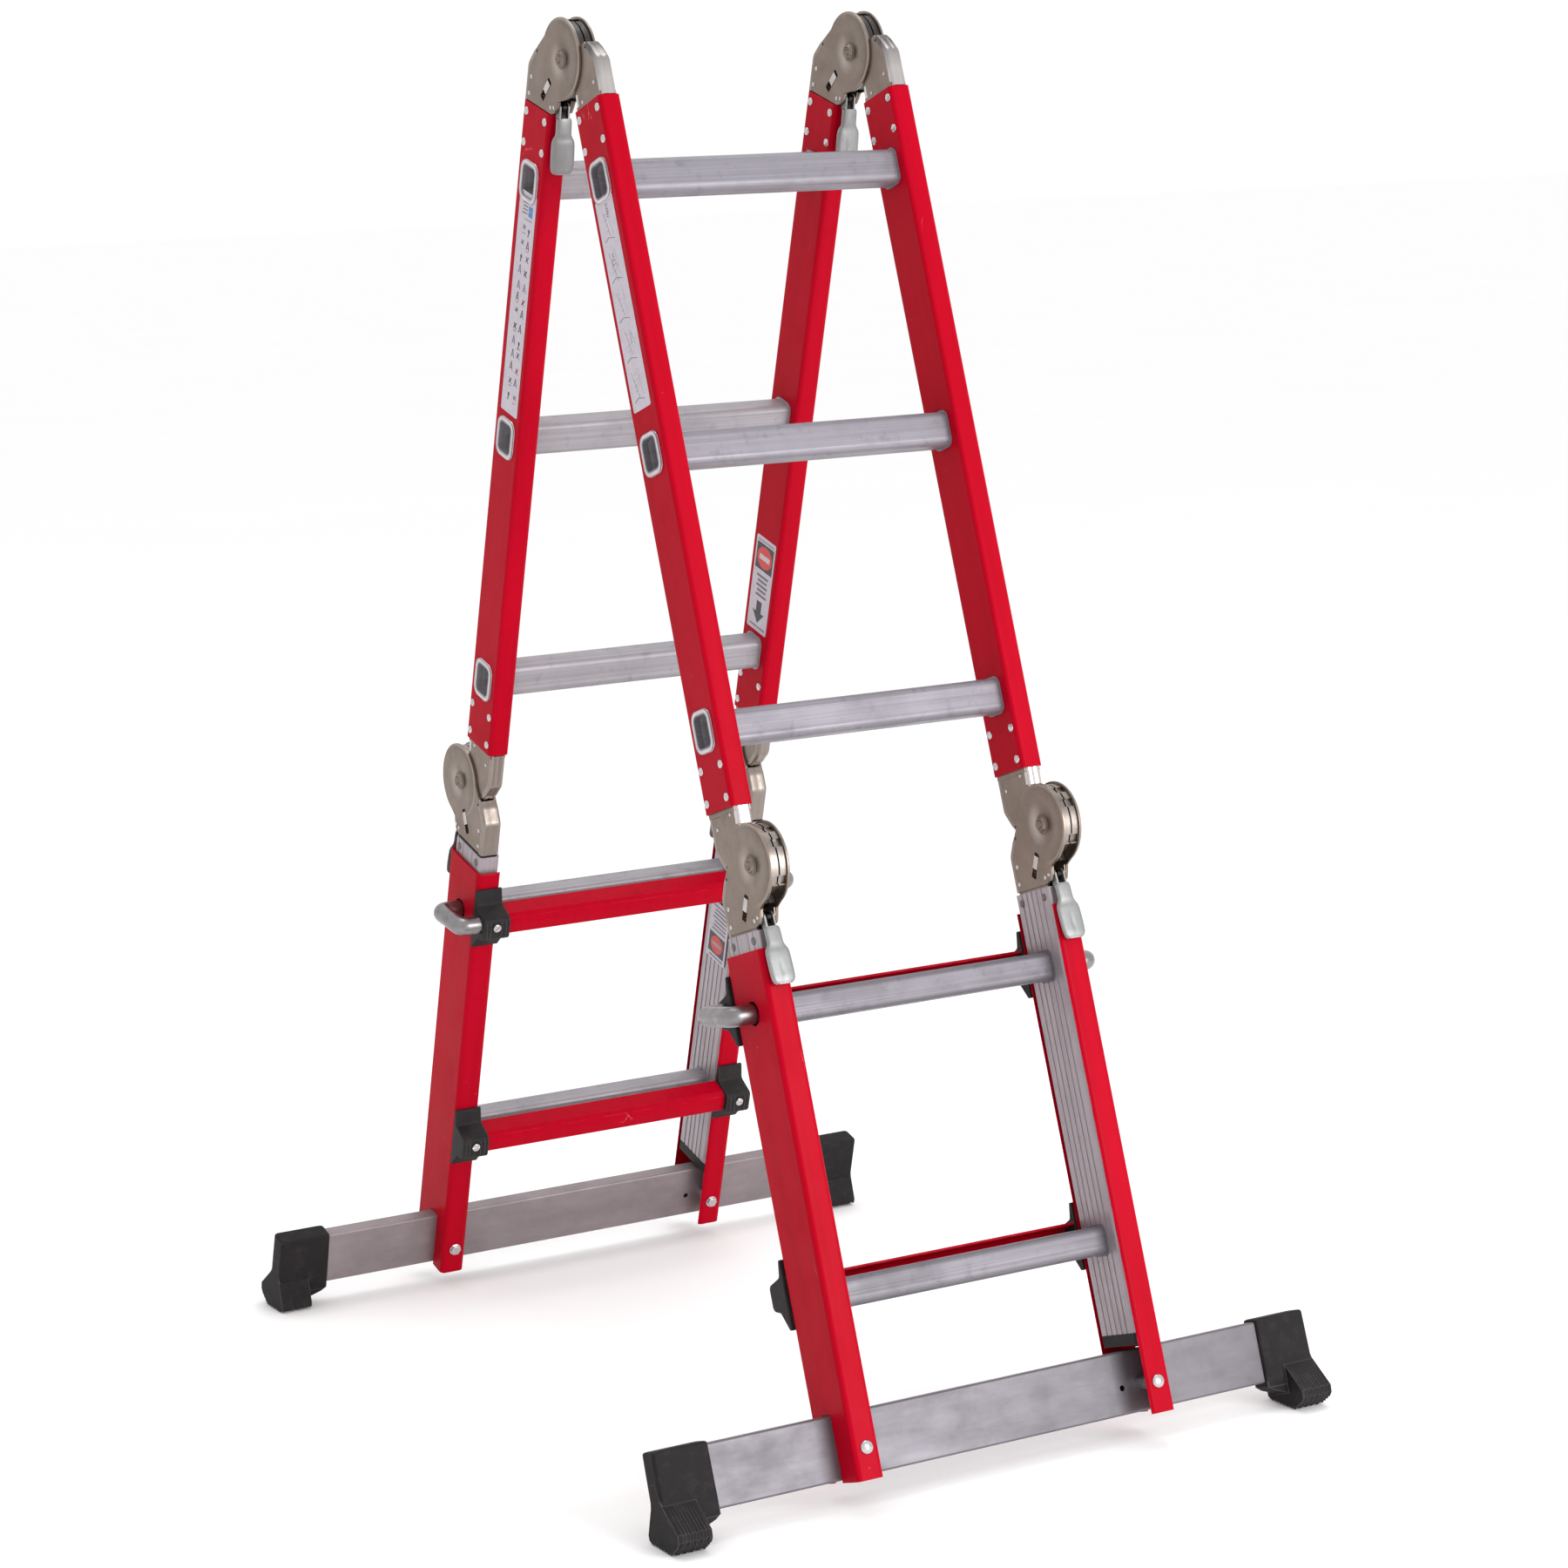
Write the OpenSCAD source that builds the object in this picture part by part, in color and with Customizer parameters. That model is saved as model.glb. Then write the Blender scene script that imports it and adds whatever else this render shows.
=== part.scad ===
// Multi position folding ladder: four sections, six locking hinges, two sliding leg extensions.
// Origin on the floor under the middle. X across, Y from the front leg (-) to the rear leg (+), Z up.

/* [Stance] */
// Lean of each leg from the vertical, degrees
lean = 17.6; // [10:0.1:22]
// Height of the top hinge axis above the floor
pivot_z = 1482; // [1400:1:1560]

/* [Sections] */
// Distance from the top hinge axis to the middle hinge axis along a leg
mid_t = 900; // [840:1:960]
// Offset of each hinge axis from the middle of the stile beside it
pivot_off = 42.6; // [40:0.1:46]
// Middle of the stile to the middle of the ladder, across
stile_x = 180.25; // [160:0.05:220]
// Stile width across the ladder
stile_w = 25.5; // [22:0.1:30]
// Stile depth
stile_d = 64; // [50:0.5:72]
// Wall of the upper stiles
stile_wall = 2; // [1.4:0.1:3]
// Radius of the stile corners
stile_r = 5; // [2:0.5:8]
// Distance from the hinge axis to the near end of an upper stile
stile_gap = 65; // [64:0.5:75]
// Depth of the inner stiles of the lower sections
inner_d = 68; // [60:0.5:70]
// Far end of the inner stiles, from the middle hinge axis
inner_end = 552; // [500:1:555]

/* [Rungs] */
// First rung from its hinge axis
rung_first = 150; // [140:1:160]
// Rung spacing
rung_pitch = 300; // [290:1:310]
// Upper rung height
rung_h = 38; // [30:0.5:42]
// Upper rung depth
rung_d = 32; // [26:0.5:36]
// Lower rung height
low_rung_h = 31; // [28:0.5:34]
// Lower rung depth
low_rung_d = 28; // [26:0.5:30]
// Rung wall
rung_wall = 1.8; // [1.2:0.1:2.5]

/* [Extensions] */
// Outer face of the extension channel from the middle of the ladder
sleeve_x = 196.7; // [180:0.1:240]
// Width of the extension channel flanges
sleeve_w = 30.7; // [26:0.1:36]
// Near end of the channel, from the middle hinge axis
sleeve_t0 = 86.5; // [84:0.5:110]
// Far end of the channel
sleeve_t1 = 639.5; // [600:0.5:660]
// Channel wall
sleeve_wall = 2.7; // [2:0.1:3]

/* [Stabilizer bars] */
// Half length of a stabilizer bar
bar_half = 398; // [300:1:500]
// Upper edge of the bar, from the middle hinge axis
bar_t0 = 570; // [568:0.5:590]
// Height of the bar
bar_h = 67; // [50:0.5:68]
// Thickness of the bar
bar_n = 18; // [14:0.5:20]

/* [Hinges] */
// Radius of the outer hinge discs
disc_r = 44.5; // [43:0.5:46]
// Radius of the notched hub between the discs
hub_r = 42; // [40:0.1:42.5]
// Radius of the hinge pins
pin_r = 8; // [6:0.5:9]
// Angle of the lock bar slot, degrees
slot_a = 33; // [30:0.5:36]

/* [Lock pins] */
// Radius of the lock pin bar
lock_r = 11; // [8:0.5:11]
// Outer axis of the handle, from the middle of the ladder
lock_x = 222; // [220:0.5:240]

/* [Hidden] */

red = [0.74, 0.01, 0.10];
alu = [0.70, 0.70, 0.72];
steel = [0.50, 0.47, 0.44];
zinc = [0.72, 0.72, 0.71];
galv = [0.52, 0.52, 0.53];
black = [0.05, 0.05, 0.05];

upper_end = mid_t - stile_gap;
off_lo = -pivot_off;
rungs_up = [rung_first, rung_first + rung_pitch, rung_first + 2 * rung_pitch];
rungs_lo = [rung_first, rung_first + rung_pitch];
sleeve_n0 = off_lo - 39.65;
sleeve_n1 = off_lo + 39.65;
bar_nc = -48;
bolt_t = 606.5;
bolt_x = 181;
arm_in = 6.75;
arm_out = 9.75;
disc_in = 8.75;
arm_hi = 11.6;
hub_h = 8.6;
lever_p = 55;
lever_s = -4;
lever_open = 6;
boot_x = 340;

// ---- placing ----
// Leg space: x across, y = minus the outward offset n, z = minus the distance t down the leg.
module front() { translate([0, 0, pivot_z]) rotate([-lean, 0, 0]) children(); }
module rear() { mirror([0, 1, 0]) front() children(); }
module lower() { translate([0, -2 * pivot_off, -mid_t]) children(); }
module left() { mirror([1, 0, 0]) children(); }
module both() { children(); mirror([1, 0, 0]) children(); }
// Hinge space: x from the middle of the hinge, y = s towards the fold side, z = p along the arm.
module top_arm() { translate([stile_x, 0, 0]) mirror([0, 0, 1]) children(); }
module mid_upper_arm() { translate([0, -2 * pivot_off, -mid_t]) translate([stile_x, 0, 0]) mirror([0, 1, 0]) children(); }
module mid_lower_arm() { translate([stile_x, 0, 0]) rotate([180, 0, 0]) children(); }

module along(t0, t1) { translate([0, 0, -t1]) linear_extrude(t1 - t0) children(); }
module across(x0, x1) { translate([x0, 0, 0]) rotate([90, 0, 90]) linear_extrude(x1 - x0) children(); }
module rr(w, h, r) {
  square([w - 2 * r, h], center = true);
  square([w, h - 2 * r], center = true);
  for (i = [-1, 1], j = [-1, 1]) translate([i * (w / 2 - r), j * (h / 2 - r)]) circle(r, $fn = 32);
}
module xcyl(r, x0, x1) { translate([x0, 0, 0]) rotate([0, 90, 0]) cylinder(h = x1 - x0, r = r, $fn = 40); }
module ncyl(r, n0, n1) { translate([0, -n0, 0]) rotate([90, 0, 0]) cylinder(h = n1 - n0, r = r, $fn = 32); }

// ---- stiles ----
module upper_stile() {
  difference() {
    along(stile_gap, upper_end) translate([stile_x, -pivot_off]) difference() {
      rr(stile_w, stile_d, stile_r);
      rr(stile_w - 2 * stile_wall, stile_d - 2 * stile_wall, stile_r - stile_wall);
    }
    for (t = rungs_up) translate([0, -pivot_off, -t]) across(stile_x - 20, stile_x + 20) rr(rung_d + 0.2, rung_h + 0.2, 8);
    for (t = [71.5 + 4.5, 111, mid_t - 111, mid_t - 71.5 - 4.5], n = [-22.5, 22.5])
      translate([0, -pivot_off - n, -t]) xcyl(2.6, stile_x - 20, stile_x + 20);
  }
}
module lower_stile() {
  difference() {
    along(stile_gap + 2, inner_end) translate([stile_x, pivot_off]) difference() {
      rr(stile_w, inner_d, 4);
      rr(stile_w - 2 * stile_wall, inner_d - 2 * stile_wall, 2);
      for (n = [-20, -10, 0, 10, 20]) translate([-stile_w / 2, n]) square([1.4, 3.2], center = true);
      for (n = [-24, -12, 12, 24]) translate([stile_w / 2, n]) square([0.8, 2.4], center = true);
    }
    for (t = rungs_lo) translate([0, pivot_off, -t]) across(stile_x - 20, stile_x + 20) rr(low_rung_d + 0.2, low_rung_h + 0.2, 7);
    for (n = [-23, 23]) translate([0, pivot_off - n, -77]) xcyl(2.6, stile_x - 20, stile_x + 20);
  }
}
module sleeve() {
  difference() {
    along(sleeve_t0, sleeve_t1) translate([0, pivot_off]) difference() {
      translate([sleeve_x - sleeve_w / 2, 0]) rr(sleeve_w, 79.3, 6);
      translate([sleeve_x - sleeve_w / 2 - 3, 0]) rr(sleeve_w, 79.3 - 2 * sleeve_wall, 3.4);
      translate([sleeve_x - sleeve_w - 3, -50]) square([3, 100]);
      translate([sleeve_x - sleeve_w - 1, -39.65 + sleeve_wall]) square([12, 79.3 - 2 * sleeve_wall]);
    }
    translate([0, pivot_off, -rung_first]) xcyl(lock_r + 2, 180, 210);
    translate([190, -bar_nc - bar_n / 2 - 0.6, -sleeve_t1 - 1]) cube([20, bar_n + 1.2, sleeve_t1 - bar_t0 + 2]);
    translate([bolt_x, 0, -bolt_t]) ncyl(4.1, sleeve_n0 - 5, sleeve_n1 + 5);
  }
}

// ---- rungs and rivets ----
module upper_rung_set() {
  for (t = rungs_up) translate([0, -pivot_off, -t]) {
    across(-stile_x - stile_w / 2 - 0.5, stile_x + stile_w / 2 + 0.5) difference() {
      rr(rung_d, rung_h, 7.9);
      rr(rung_d - 2 * rung_wall, rung_h - 2 * rung_wall, 6.1);
    }
    both() {
      translate([stile_x + stile_w / 2, 0, 0]) across(0.05, 1.9) difference() {
        rr(rung_d + 9, rung_h + 8, 12);
        rr(rung_d - 2 * rung_wall, rung_h - 2 * rung_wall, 6.1);
      }
      translate([stile_x - stile_w / 2, 0, 0]) across(-1.6, -0.05) difference() {
        rr(rung_d + 4, rung_h + 4, 9.9);
        rr(rung_d - 1, rung_h - 1, 7.4);
      }
    }
  }
}
module lower_rung_set() {
  for (t = rungs_lo) translate([0, pivot_off, -t]) {
    across(-stile_x - stile_w / 2, stile_x + stile_w / 2) difference() {
      rr(low_rung_d, low_rung_h, 6.9);
      rr(low_rung_d - 2 * rung_wall, low_rung_h - 2 * rung_wall, 5.1);
    }
    both() translate([stile_x - stile_w / 2, 0, 0]) across(-1.6, -0.05) difference() {
      rr(low_rung_d + 4, low_rung_h + 4, 8.9);
      rr(low_rung_d - 1, low_rung_h - 1, 6.4);
    }
  }
}
module rivet(r = 4.6) {
  xcyl(2.5, -stile_w / 2 - 0.6, stile_w / 2 + 0.6);
  for (k = [0, 1]) mirror([k, 0, 0]) {
    xcyl(r, stile_w / 2 + 0.05, stile_w / 2 + 0.9);
    xcyl(r - 1.2, stile_w / 2 + 0.5, stile_w / 2 + 1.7);
  }
}
module upper_rivet_set() {
  both() for (t = [76, 111, mid_t - 111, mid_t - 76], n = [-22.5, 22.5])
    translate([stile_x, -pivot_off - n, -t]) rivet();
}
module lower_rivet_set() { both() for (n = [-23, 23]) translate([stile_x, pivot_off - n, -77]) rivet(4.2); }
module end_cap_set() {
  both() {
    along(inner_end + 0.1, inner_end + 13) translate([stile_x, pivot_off]) rr(stile_w, inner_d, 4);
    along(inner_end - 14, inner_end + 1) translate([stile_x, pivot_off]) difference() {
      rr(stile_w - 2 * stile_wall - 1, inner_d - 2 * stile_wall - 0.4, 2);
      rr(stile_w - 2 * stile_wall - 5, inner_d - 2 * stile_wall - 4.4, 1);
    }
  }
}

// ---- hinges, drawn as [s, p] ----
module edge_band() {
  polygon([[-59, 7], [-74.6, 25], [-74.6, 64.6], [-72.2, 64.6], [-72.2, 26], [-57.2, 8.7]]);
}
module tongue() { polygon([[-71.6, 60], [-71.6, 120], [-13.6, 120], [-13.6, 60]]); }
module tongue_flanges() {
  polygon([[-71.6, 66], [-71.6, 120], [-69.2, 120], [-69.2, 66]]);
  polygon([[-16, 76], [-16, 120], [-13.6, 120], [-13.6, 76]]);
}
module rivet_holes() {
  for (p = [76, 111], s = [-22.5, 22.5]) translate([-pivot_off + s, p]) circle(2.6, $fn = 24);
}
module outer_cut() {
  circle(pin_r + 0.05, $fn = 48);
  rotate(slot_a) translate([-4.5, 34.5]) square([9, 29.5]);
}
module outer_disc() {
  difference() {
    union() {
      circle(disc_r, $fn = 96);
      polygon([[0, -1], [-42, -14.6], [-55, -2.4], [-60, 6], [-74.6, 24], [-74.6, 64.6], [-10.8, 64.6], [-3, 61.5], [0.2, 55], [3, 47.5], [12, 42.6], [20, 0]]);
    }
    outer_cut();
  }
}
module outer_root() {
  difference() {
    union() {
      polygon([[-74, 46.5], [-74, 64.2], [-11.2, 64.2], [-3.6, 61], [-0.4, 55], [1.5, 46.5]]);
      tongue();
    }
    outer_cut();
  }
}
module outer_arm(low = false) {
  difference() {
    union() {
      for (k = [0, 1]) mirror([k, 0, 0]) {
        across(disc_in, arm_hi) outer_disc();
        across(arm_in, arm_out) outer_root();
      }
      across(-disc_in - 0.1, disc_in + 0.1) edge_band();
      across(-arm_in - 0.5, arm_in + 0.5) tongue_flanges();
      for (c = [[-63, 37, 3.2], [-65, 56, 3.2]]) translate([0, c[0], c[1]]) xcyl(c[2], -arm_hi - 0.7, arm_hi + 0.7);
      for (k = [0, 1]) mirror([k, 0, 0]) translate([0, -11.5, 57]) xcyl(2.6, arm_in + 0.6, arm_hi + 0.7);
      translate([0, lever_s, lever_p]) xcyl(2, -arm_hi - 1, arm_hi + 1);
    }
    across(-20, 20) if (low) { for (s = [-23, 23]) translate([-pivot_off + s, 77]) circle(2.6, $fn = 24); } else rivet_holes();
  }
}
module hub(notches) {
  difference() {
    circle(hub_r, $fn = 96);
    circle(pin_r + 0.08, $fn = 48);
    for (a = notches) rotate(a) translate([-4.7, hub_r - 2.9]) square([9.4, 8]);
    for (a = [140, 153, 166]) rotate(-a) translate([-6, hub_r - 9]) square([12, 12]);
  }
}
module inner_arm(notches) {
  difference() {
    union() {
      for (k = [0, 1]) mirror([k, 0, 0]) {
        across(2.2, hub_h) hub(notches);
        across(3.4, hub_h - 0.05) difference() {
          polygon([[-12, 10], [-12, 0.4], [-53.6, 0.4], [-59.6, 7], [-74.6, 24.4], [-74.6, 64.6], [-10.8, 64.6], [-10.8, 40]]);
          circle(pin_r + 3, $fn = 48);
        }
        across(6.3, arm_out) tongue();
      }
      across(-3.5, 3.5) difference() { circle(14, $fn = 48); circle(pin_r + 0.08, $fn = 48); }
      across(-arm_in - 0.5, arm_in + 0.5) { edge_band(); tongue_flanges(); }
    }
    across(-20, 20) rivet_holes();
  }
}
module hinge_pin() {
  xcyl(pin_r, -arm_hi - 0.5, arm_hi + 0.5);
  for (k = [0, 1]) mirror([k, 0, 0]) difference() {
    union() { xcyl(10.5, arm_hi + 0.05, arm_hi + 1.6); xcyl(8.6, arm_hi + 0.5, arm_hi + 2.8); }
    xcyl(5.4, arm_hi + 1.5, arm_hi + 4);
  }
}
// Lever drawn in its locked place, then lifted to where the lock bar just clears the hub.
module lever() {
  translate([0, lever_s, lever_p]) rotate([-lever_open, 0, 0]) translate([0, -lever_s, -lever_p]) difference() {
    union() {
      for (k = [0, 1]) mirror([k, 0, 0]) {
        across(4.3, 6.3) {
          polygon([[-8.2, 51.5], [-9.2, 55], [-8.8, 66], [-2, 78], [0.2, 78], [0.2, 54], [-2, 50.2], [-5, 49.6]]);
        }
        translate([5.3, -0.6, 71]) cube([2, 4.4, 5], center = true);
      }
      translate([0, -0.9, 0]) rotate([90, 0, 0]) linear_extrude(2.2, center = true)
        polygon([[-6.3, 66], [-6.3, 74], [-9.4, 78], [-9.4, 88], [-13, 97], [-14, 112], [-13.2, 122], [-9.5, 127.4],
          [9.5, 127.4], [13.2, 122], [14, 112], [13, 97], [9.4, 88], [9.4, 78], [6.3, 74], [6.3, 66]]);
      translate([0, 1.2, 106]) rotate([90, 0, 0]) linear_extrude(2.4, center = true) rr(5, 26, 2.4);
      for (k = [-1, 1]) translate([k * 3.4, 1.2, 70.5]) cube([2.6, 3, 4], center = true);
      // crank that works the lock bar
      across(-2.2, 2.2) {
        translate([lever_s, lever_p]) circle(4.6, $fn = 32);
        polygon([[-4, 51.6], [-4, 58.4], [-33.6, 55.6], [-33.6, 50.4]]);
        translate([-33.6, 53]) circle(3.6, $fn = 32);
        polygon([[-7, 57], [-4.5, 59], [-1.2, 67], [-1.2, 71], [-3, 71]]);
      }
    }
    translate([0, lever_s, lever_p]) xcyl(2.1, -20, 20);
  }
}
module lock_bar() {
  rotate([slot_a, 0, 0]) {
    for (k = [0, 1]) mirror([k, 0, 0]) translate([hub_h + 0.1, -4.1, 38.2]) cube([arm_hi - hub_h, 8.2, 14.8]);
    translate([-arm_out + 0.5, -4.1, hub_r + 0.35]) cube([2 * arm_out - 1, 8.2, 6.1]);
    difference() {
      translate([-6.2, -4.1, hub_r + 0.35]) cube([12.4, 8.2, 31.1]);
      translate([-2.9, -10, 58.8]) cube([5.8, 20, 11.1]);
    }
  }
}
module lever_spring() {
  translate([0, lever_s, lever_p]) for (k = [-1, 1]) {
    for (x = [2.75, 3.65]) translate([k * x, 0, 0]) rotate([0, 90, 0]) rotate_extrude($fn = 32) translate([3, 0]) circle(0.4, $fn = 16);
    translate([k * 3.2, 0, 3]) rotate([90, 0, 0]) cylinder(h = 9, r = 0.4, $fn = 16);
  }
}
notch_top = [147, -68.2, -40.2];
notch_mid = [147, -123, -68, -41];

// ---- extensions ----
module tread_outline() { polygon([[0, 0], [4, -21.6], [8, -26.2], [17, -27.6], [28, -26.2], [32, -1.4], [32, 0]]); }
module tread_hollow() { polygon([[2.4, 0.2], [2.4, -1], [6.1, -20.6], [9.2, -24.2], [17.2, -25.4], [26, -24.2], [29.7, -0.6], [29.7, 0.2]]); }
// [t, n] shapes turned into leg space: y = -n, z = -t
module tn(x0, x1) { translate([x0, 0, 0]) rotate([90, 90, 90]) linear_extrude(x1 - x0) children(); }
module tread(tc) {
  translate([0, -sleeve_n0 + 0.15, -tc + 24]) tn(-165.2, 165.2) mirror([0, 1]) difference() { tread_outline(); tread_hollow(); }
}
module tread_set() { for (t = rungs_lo) tread(t); }
module bracket(tc, bored) {
  difference() {
    union() {
      translate([0, -sleeve_n0 + 0.1, -tc]) tn(165.5, 199.3) mirror([0, 1])
        polygon([[-45, 0], [-45, -3.4], [-27, -8], [-20, -31], [-16, -33.4], [4, -33.4], [8, -30], [10, -18], [29, -4.5], [29, 0]]);
      translate([196.9, -sleeve_n0 - 12, -tc - 29]) cube([2.4, 12.2, 74]);
      translate([0, -sleeve_n0 + 0.15, -tc + 24]) tn(152, 165.6) mirror([0, 1]) difference() {
        polygon([[3, -1.2], [6.5, -20.3], [9.5, -23.8], [17.2, -25], [25.6, -23.8], [29.2, -1.2]]);
        polygon([[5.4, -3.6], [8.8, -19], [11, -21.4], [23.6, -21.4], [26.6, -3.6]]);
      }
    }
    if (bored) translate([0, 100, -tc + 8]) xcyl(lock_r + 0.35, 164, 210);
    translate([183, 0, -tc + 9]) ncyl(2.1, sleeve_n0 - 40, sleeve_n0 - 29);
  }
}
module bracket_set() { both() { bracket(rungs_lo[0], true); bracket(rungs_lo[1], false); } }
module fastener_set() {
  both() {
    translate([bolt_x, 0, -bolt_t]) {
      ncyl(4, sleeve_n0 - 4, sleeve_n1 + 1);
      ncyl(7.4, sleeve_n1 + 0.05, sleeve_n1 + 2.2);
      ncyl(5, sleeve_n1 + 1, sleeve_n1 + 4);
      ncyl(7.4, sleeve_n0 - 4.6, sleeve_n0 - 0.05);
      ncyl(7.5, bar_nc + bar_n / 2 + 0.05, sleeve_n1 - sleeve_wall - 0.05);
      ncyl(7.5, sleeve_n0 + sleeve_wall + 0.05, bar_nc - bar_n / 2 - 0.05);
    }
    for (t = rungs_lo) translate([183, 0, -t + 9]) {
      ncyl(2, sleeve_n0 - 35, sleeve_n0 - 29.3);
      difference() {
        ncyl(5, sleeve_n0 - 36.4, sleeve_n0 - 33.55);
        translate([-0.5, -sleeve_n0 + 35.6, -6]) cube([1, 2, 12]);
      }
    }
  }
}
module bar() {
  difference() {
    translate([0, -bar_nc, -bar_t0 - bar_h / 2]) across(-bar_half, bar_half) difference() {
      rr(bar_n, bar_h, 2.4);
      rr(bar_n - 4, bar_h - 4, 1.2);
    }
    both() translate([bolt_x, 0, -bolt_t]) ncyl(4.1, bar_nc - 20, bar_nc + 20);
    both() translate([158, 0, -bolt_t - 2]) ncyl(3.2, bar_nc - 20, bar_nc + 20);
  }
}
module boot() {
  difference() {
    union() {
      // sleeve over the end of the bar
      translate([0, -bar_nc, 0]) along(566.4, 641) translate([boot_x + 33, 0]) rr(64, bar_n + 8, 4);
      // drawn-in lower end of the sleeve
      translate([0, -bar_nc + bar_n / 2 + 3.6, 0]) rotate([90, 0, 0]) linear_extrude(bar_n + 7.2)
        polygon([[boot_x + 1.4, -636], [boot_x + 1.4, -641.4], [boot_x + 8, -646], [boot_x + 27, -653], [boot_x + 64, -653], [boot_x + 64, -636]]);
      // rocker sole with a gusset on each side
      tn(boot_x + 26.5, boot_x + 65.6) mirror([0, 1])
        polygon([[621, -35.4], [652, -10.4], [660, -11.4], [665.2, -17], [676, -36], [676, -64], [662, -70], [654.6, -76.5], [649.5, -76.5], [624, -60.6], [600, -52], [600, -44]]);
    }
    translate([0, -bar_nc, -bar_t0 - bar_h / 2]) across(boot_x - 5, bar_half + 0.6) rr(bar_n + 0.2, bar_h + 0.2, 2.4);
  }
}
module boot_pair() { difference() { lower() both() boot(); } }
module lock_pin() {
  translate([0, pivot_off, -rung_first]) { xcyl(lock_r, 193.5, lock_x); translate([lock_x, 0, 0]) sphere(lock_r + 0.06, $fn = 40); }
  translate([0, 100, -rung_first + 8]) { xcyl(lock_r, 179, lock_x); translate([lock_x, 0, 0]) sphere(lock_r + 0.06, $fn = 40); }
  translate([lock_x, pivot_off, -rung_first]) rotate([-90 + atan2(8, 57.4), 0, 0]) cylinder(h = norm([57.4, 8]), r = lock_r, $fn = 40);
}
module under_floor() { translate([-600, -900, -120]) cube([1200, 1800, 120]); }

// ---- parts ----
module front_upper_left_stile() { color(red) front() left() upper_stile(); }
module front_upper_right_stile() { color(red) front() upper_stile(); }
module front_upper_rungs() { color(alu) front() upper_rung_set(); }
module front_upper_rivets() { color(zinc) front() upper_rivet_set(); }
module top_hinge_inner_arms() { color(steel) front() both() top_arm() inner_arm(notch_top); }
module front_hinge_inner_arms() { color(steel) front() both() mid_upper_arm() inner_arm(notch_mid); }
module rear_upper_left_stile() { color(red) rear() left() upper_stile(); }
module rear_upper_right_stile() { color(red) rear() upper_stile(); }
module rear_upper_rungs() { color(alu) rear() upper_rung_set(); }
module rear_upper_rivets() { color(zinc) rear() upper_rivet_set(); }
module top_hinge_outer_arms() { color(steel) rear() both() top_arm() outer_arm(); }
module top_hinge_pins() { color(zinc) rear() both() top_arm() hinge_pin(); }
module rear_hinge_inner_arms() { color(steel) rear() both() mid_upper_arm() inner_arm(notch_mid); }
module front_lower_left_stile() { color(alu) front() lower() left() lower_stile(); }
module front_lower_right_stile() { color(alu) front() lower() lower_stile(); }
module front_lower_rungs() { color(alu) front() lower() lower_rung_set(); }
module front_lower_end_caps() { color(black) front() lower() end_cap_set(); }
module front_lower_rivets() { color(zinc) front() lower() lower_rivet_set(); }
module front_hinge_outer_arms() { color(steel) front() lower() both() mid_lower_arm() outer_arm(true); }
module front_hinge_pins() { color(zinc) front() lower() both() mid_lower_arm() hinge_pin(); }
module rear_lower_left_stile() { color(alu) rear() lower() left() lower_stile(); }
module rear_lower_right_stile() { color(alu) rear() lower() lower_stile(); }
module rear_lower_rungs() { color(alu) rear() lower() lower_rung_set(); }
module rear_lower_end_caps() { color(black) rear() lower() end_cap_set(); }
module rear_lower_rivets() { color(zinc) rear() lower() lower_rivet_set(); }
module rear_hinge_outer_arms() { color(steel) rear() lower() both() mid_lower_arm() outer_arm(true); }
module rear_hinge_pins() { color(zinc) rear() lower() both() mid_lower_arm() hinge_pin(); }
module front_extension_left_stile() { color(red) front() lower() left() sleeve(); }
module front_extension_right_stile() { color(red) front() lower() sleeve(); }
module front_extension_rungs() { color(red) front() lower() tread_set(); }
module front_extension_brackets() { color(black) front() lower() bracket_set(); }
module front_extension_fasteners() { color(zinc) front() lower() fastener_set(); }
module front_stabilizer_bar() { color(alu) front() lower() bar(); }
module front_stabilizer_feet() { color(black) difference() { front() boot_pair(); under_floor(); } }
module rear_extension_left_stile() { color(red) rear() lower() left() sleeve(); }
module rear_extension_right_stile() { color(red) rear() lower() sleeve(); }
module rear_extension_rungs() { color(red) rear() lower() tread_set(); }
module rear_extension_brackets() { color(black) rear() lower() bracket_set(); }
module rear_extension_fasteners() { color(zinc) rear() lower() fastener_set(); }
module rear_stabilizer_bar() { color(alu) rear() lower() bar(); }
module rear_stabilizer_feet() { color(black) difference() { rear() boot_pair(); under_floor(); } }
module top_release_lever_left() { color(zinc) rear() left() top_arm() lever(); }
module top_release_lever_right() { color(zinc) rear() top_arm() lever(); }
module front_release_lever_left() { color(zinc) front() lower() left() mid_lower_arm() lever(); }
module front_release_lever_right() { color(zinc) front() lower() mid_lower_arm() lever(); }
module rear_release_lever_left() { color(zinc) rear() lower() left() mid_lower_arm() lever(); }
module rear_release_lever_right() { color(zinc) rear() lower() mid_lower_arm() lever(); }
module top_lock_bar_left() { color(zinc) rear() left() top_arm() lock_bar(); }
module top_lock_bar_right() { color(zinc) rear() top_arm() lock_bar(); }
module front_lock_bar_left() { color(zinc) front() lower() left() mid_lower_arm() lock_bar(); }
module front_lock_bar_right() { color(zinc) front() lower() mid_lower_arm() lock_bar(); }
module rear_lock_bar_left() { color(zinc) rear() lower() left() mid_lower_arm() lock_bar(); }
module rear_lock_bar_right() { color(zinc) rear() lower() mid_lower_arm() lock_bar(); }
module front_lock_pin_left() { color(galv) front() lower() left() lock_pin(); }
module front_lock_pin_right() { color(galv) front() lower() lock_pin(); }
module rear_lock_pin_left() { color(galv) rear() lower() left() lock_pin(); }
module rear_lock_pin_right() { color(galv) rear() lower() lock_pin(); }
module top_lever_springs() { color(black) rear() both() top_arm() lever_spring(); }
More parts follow.
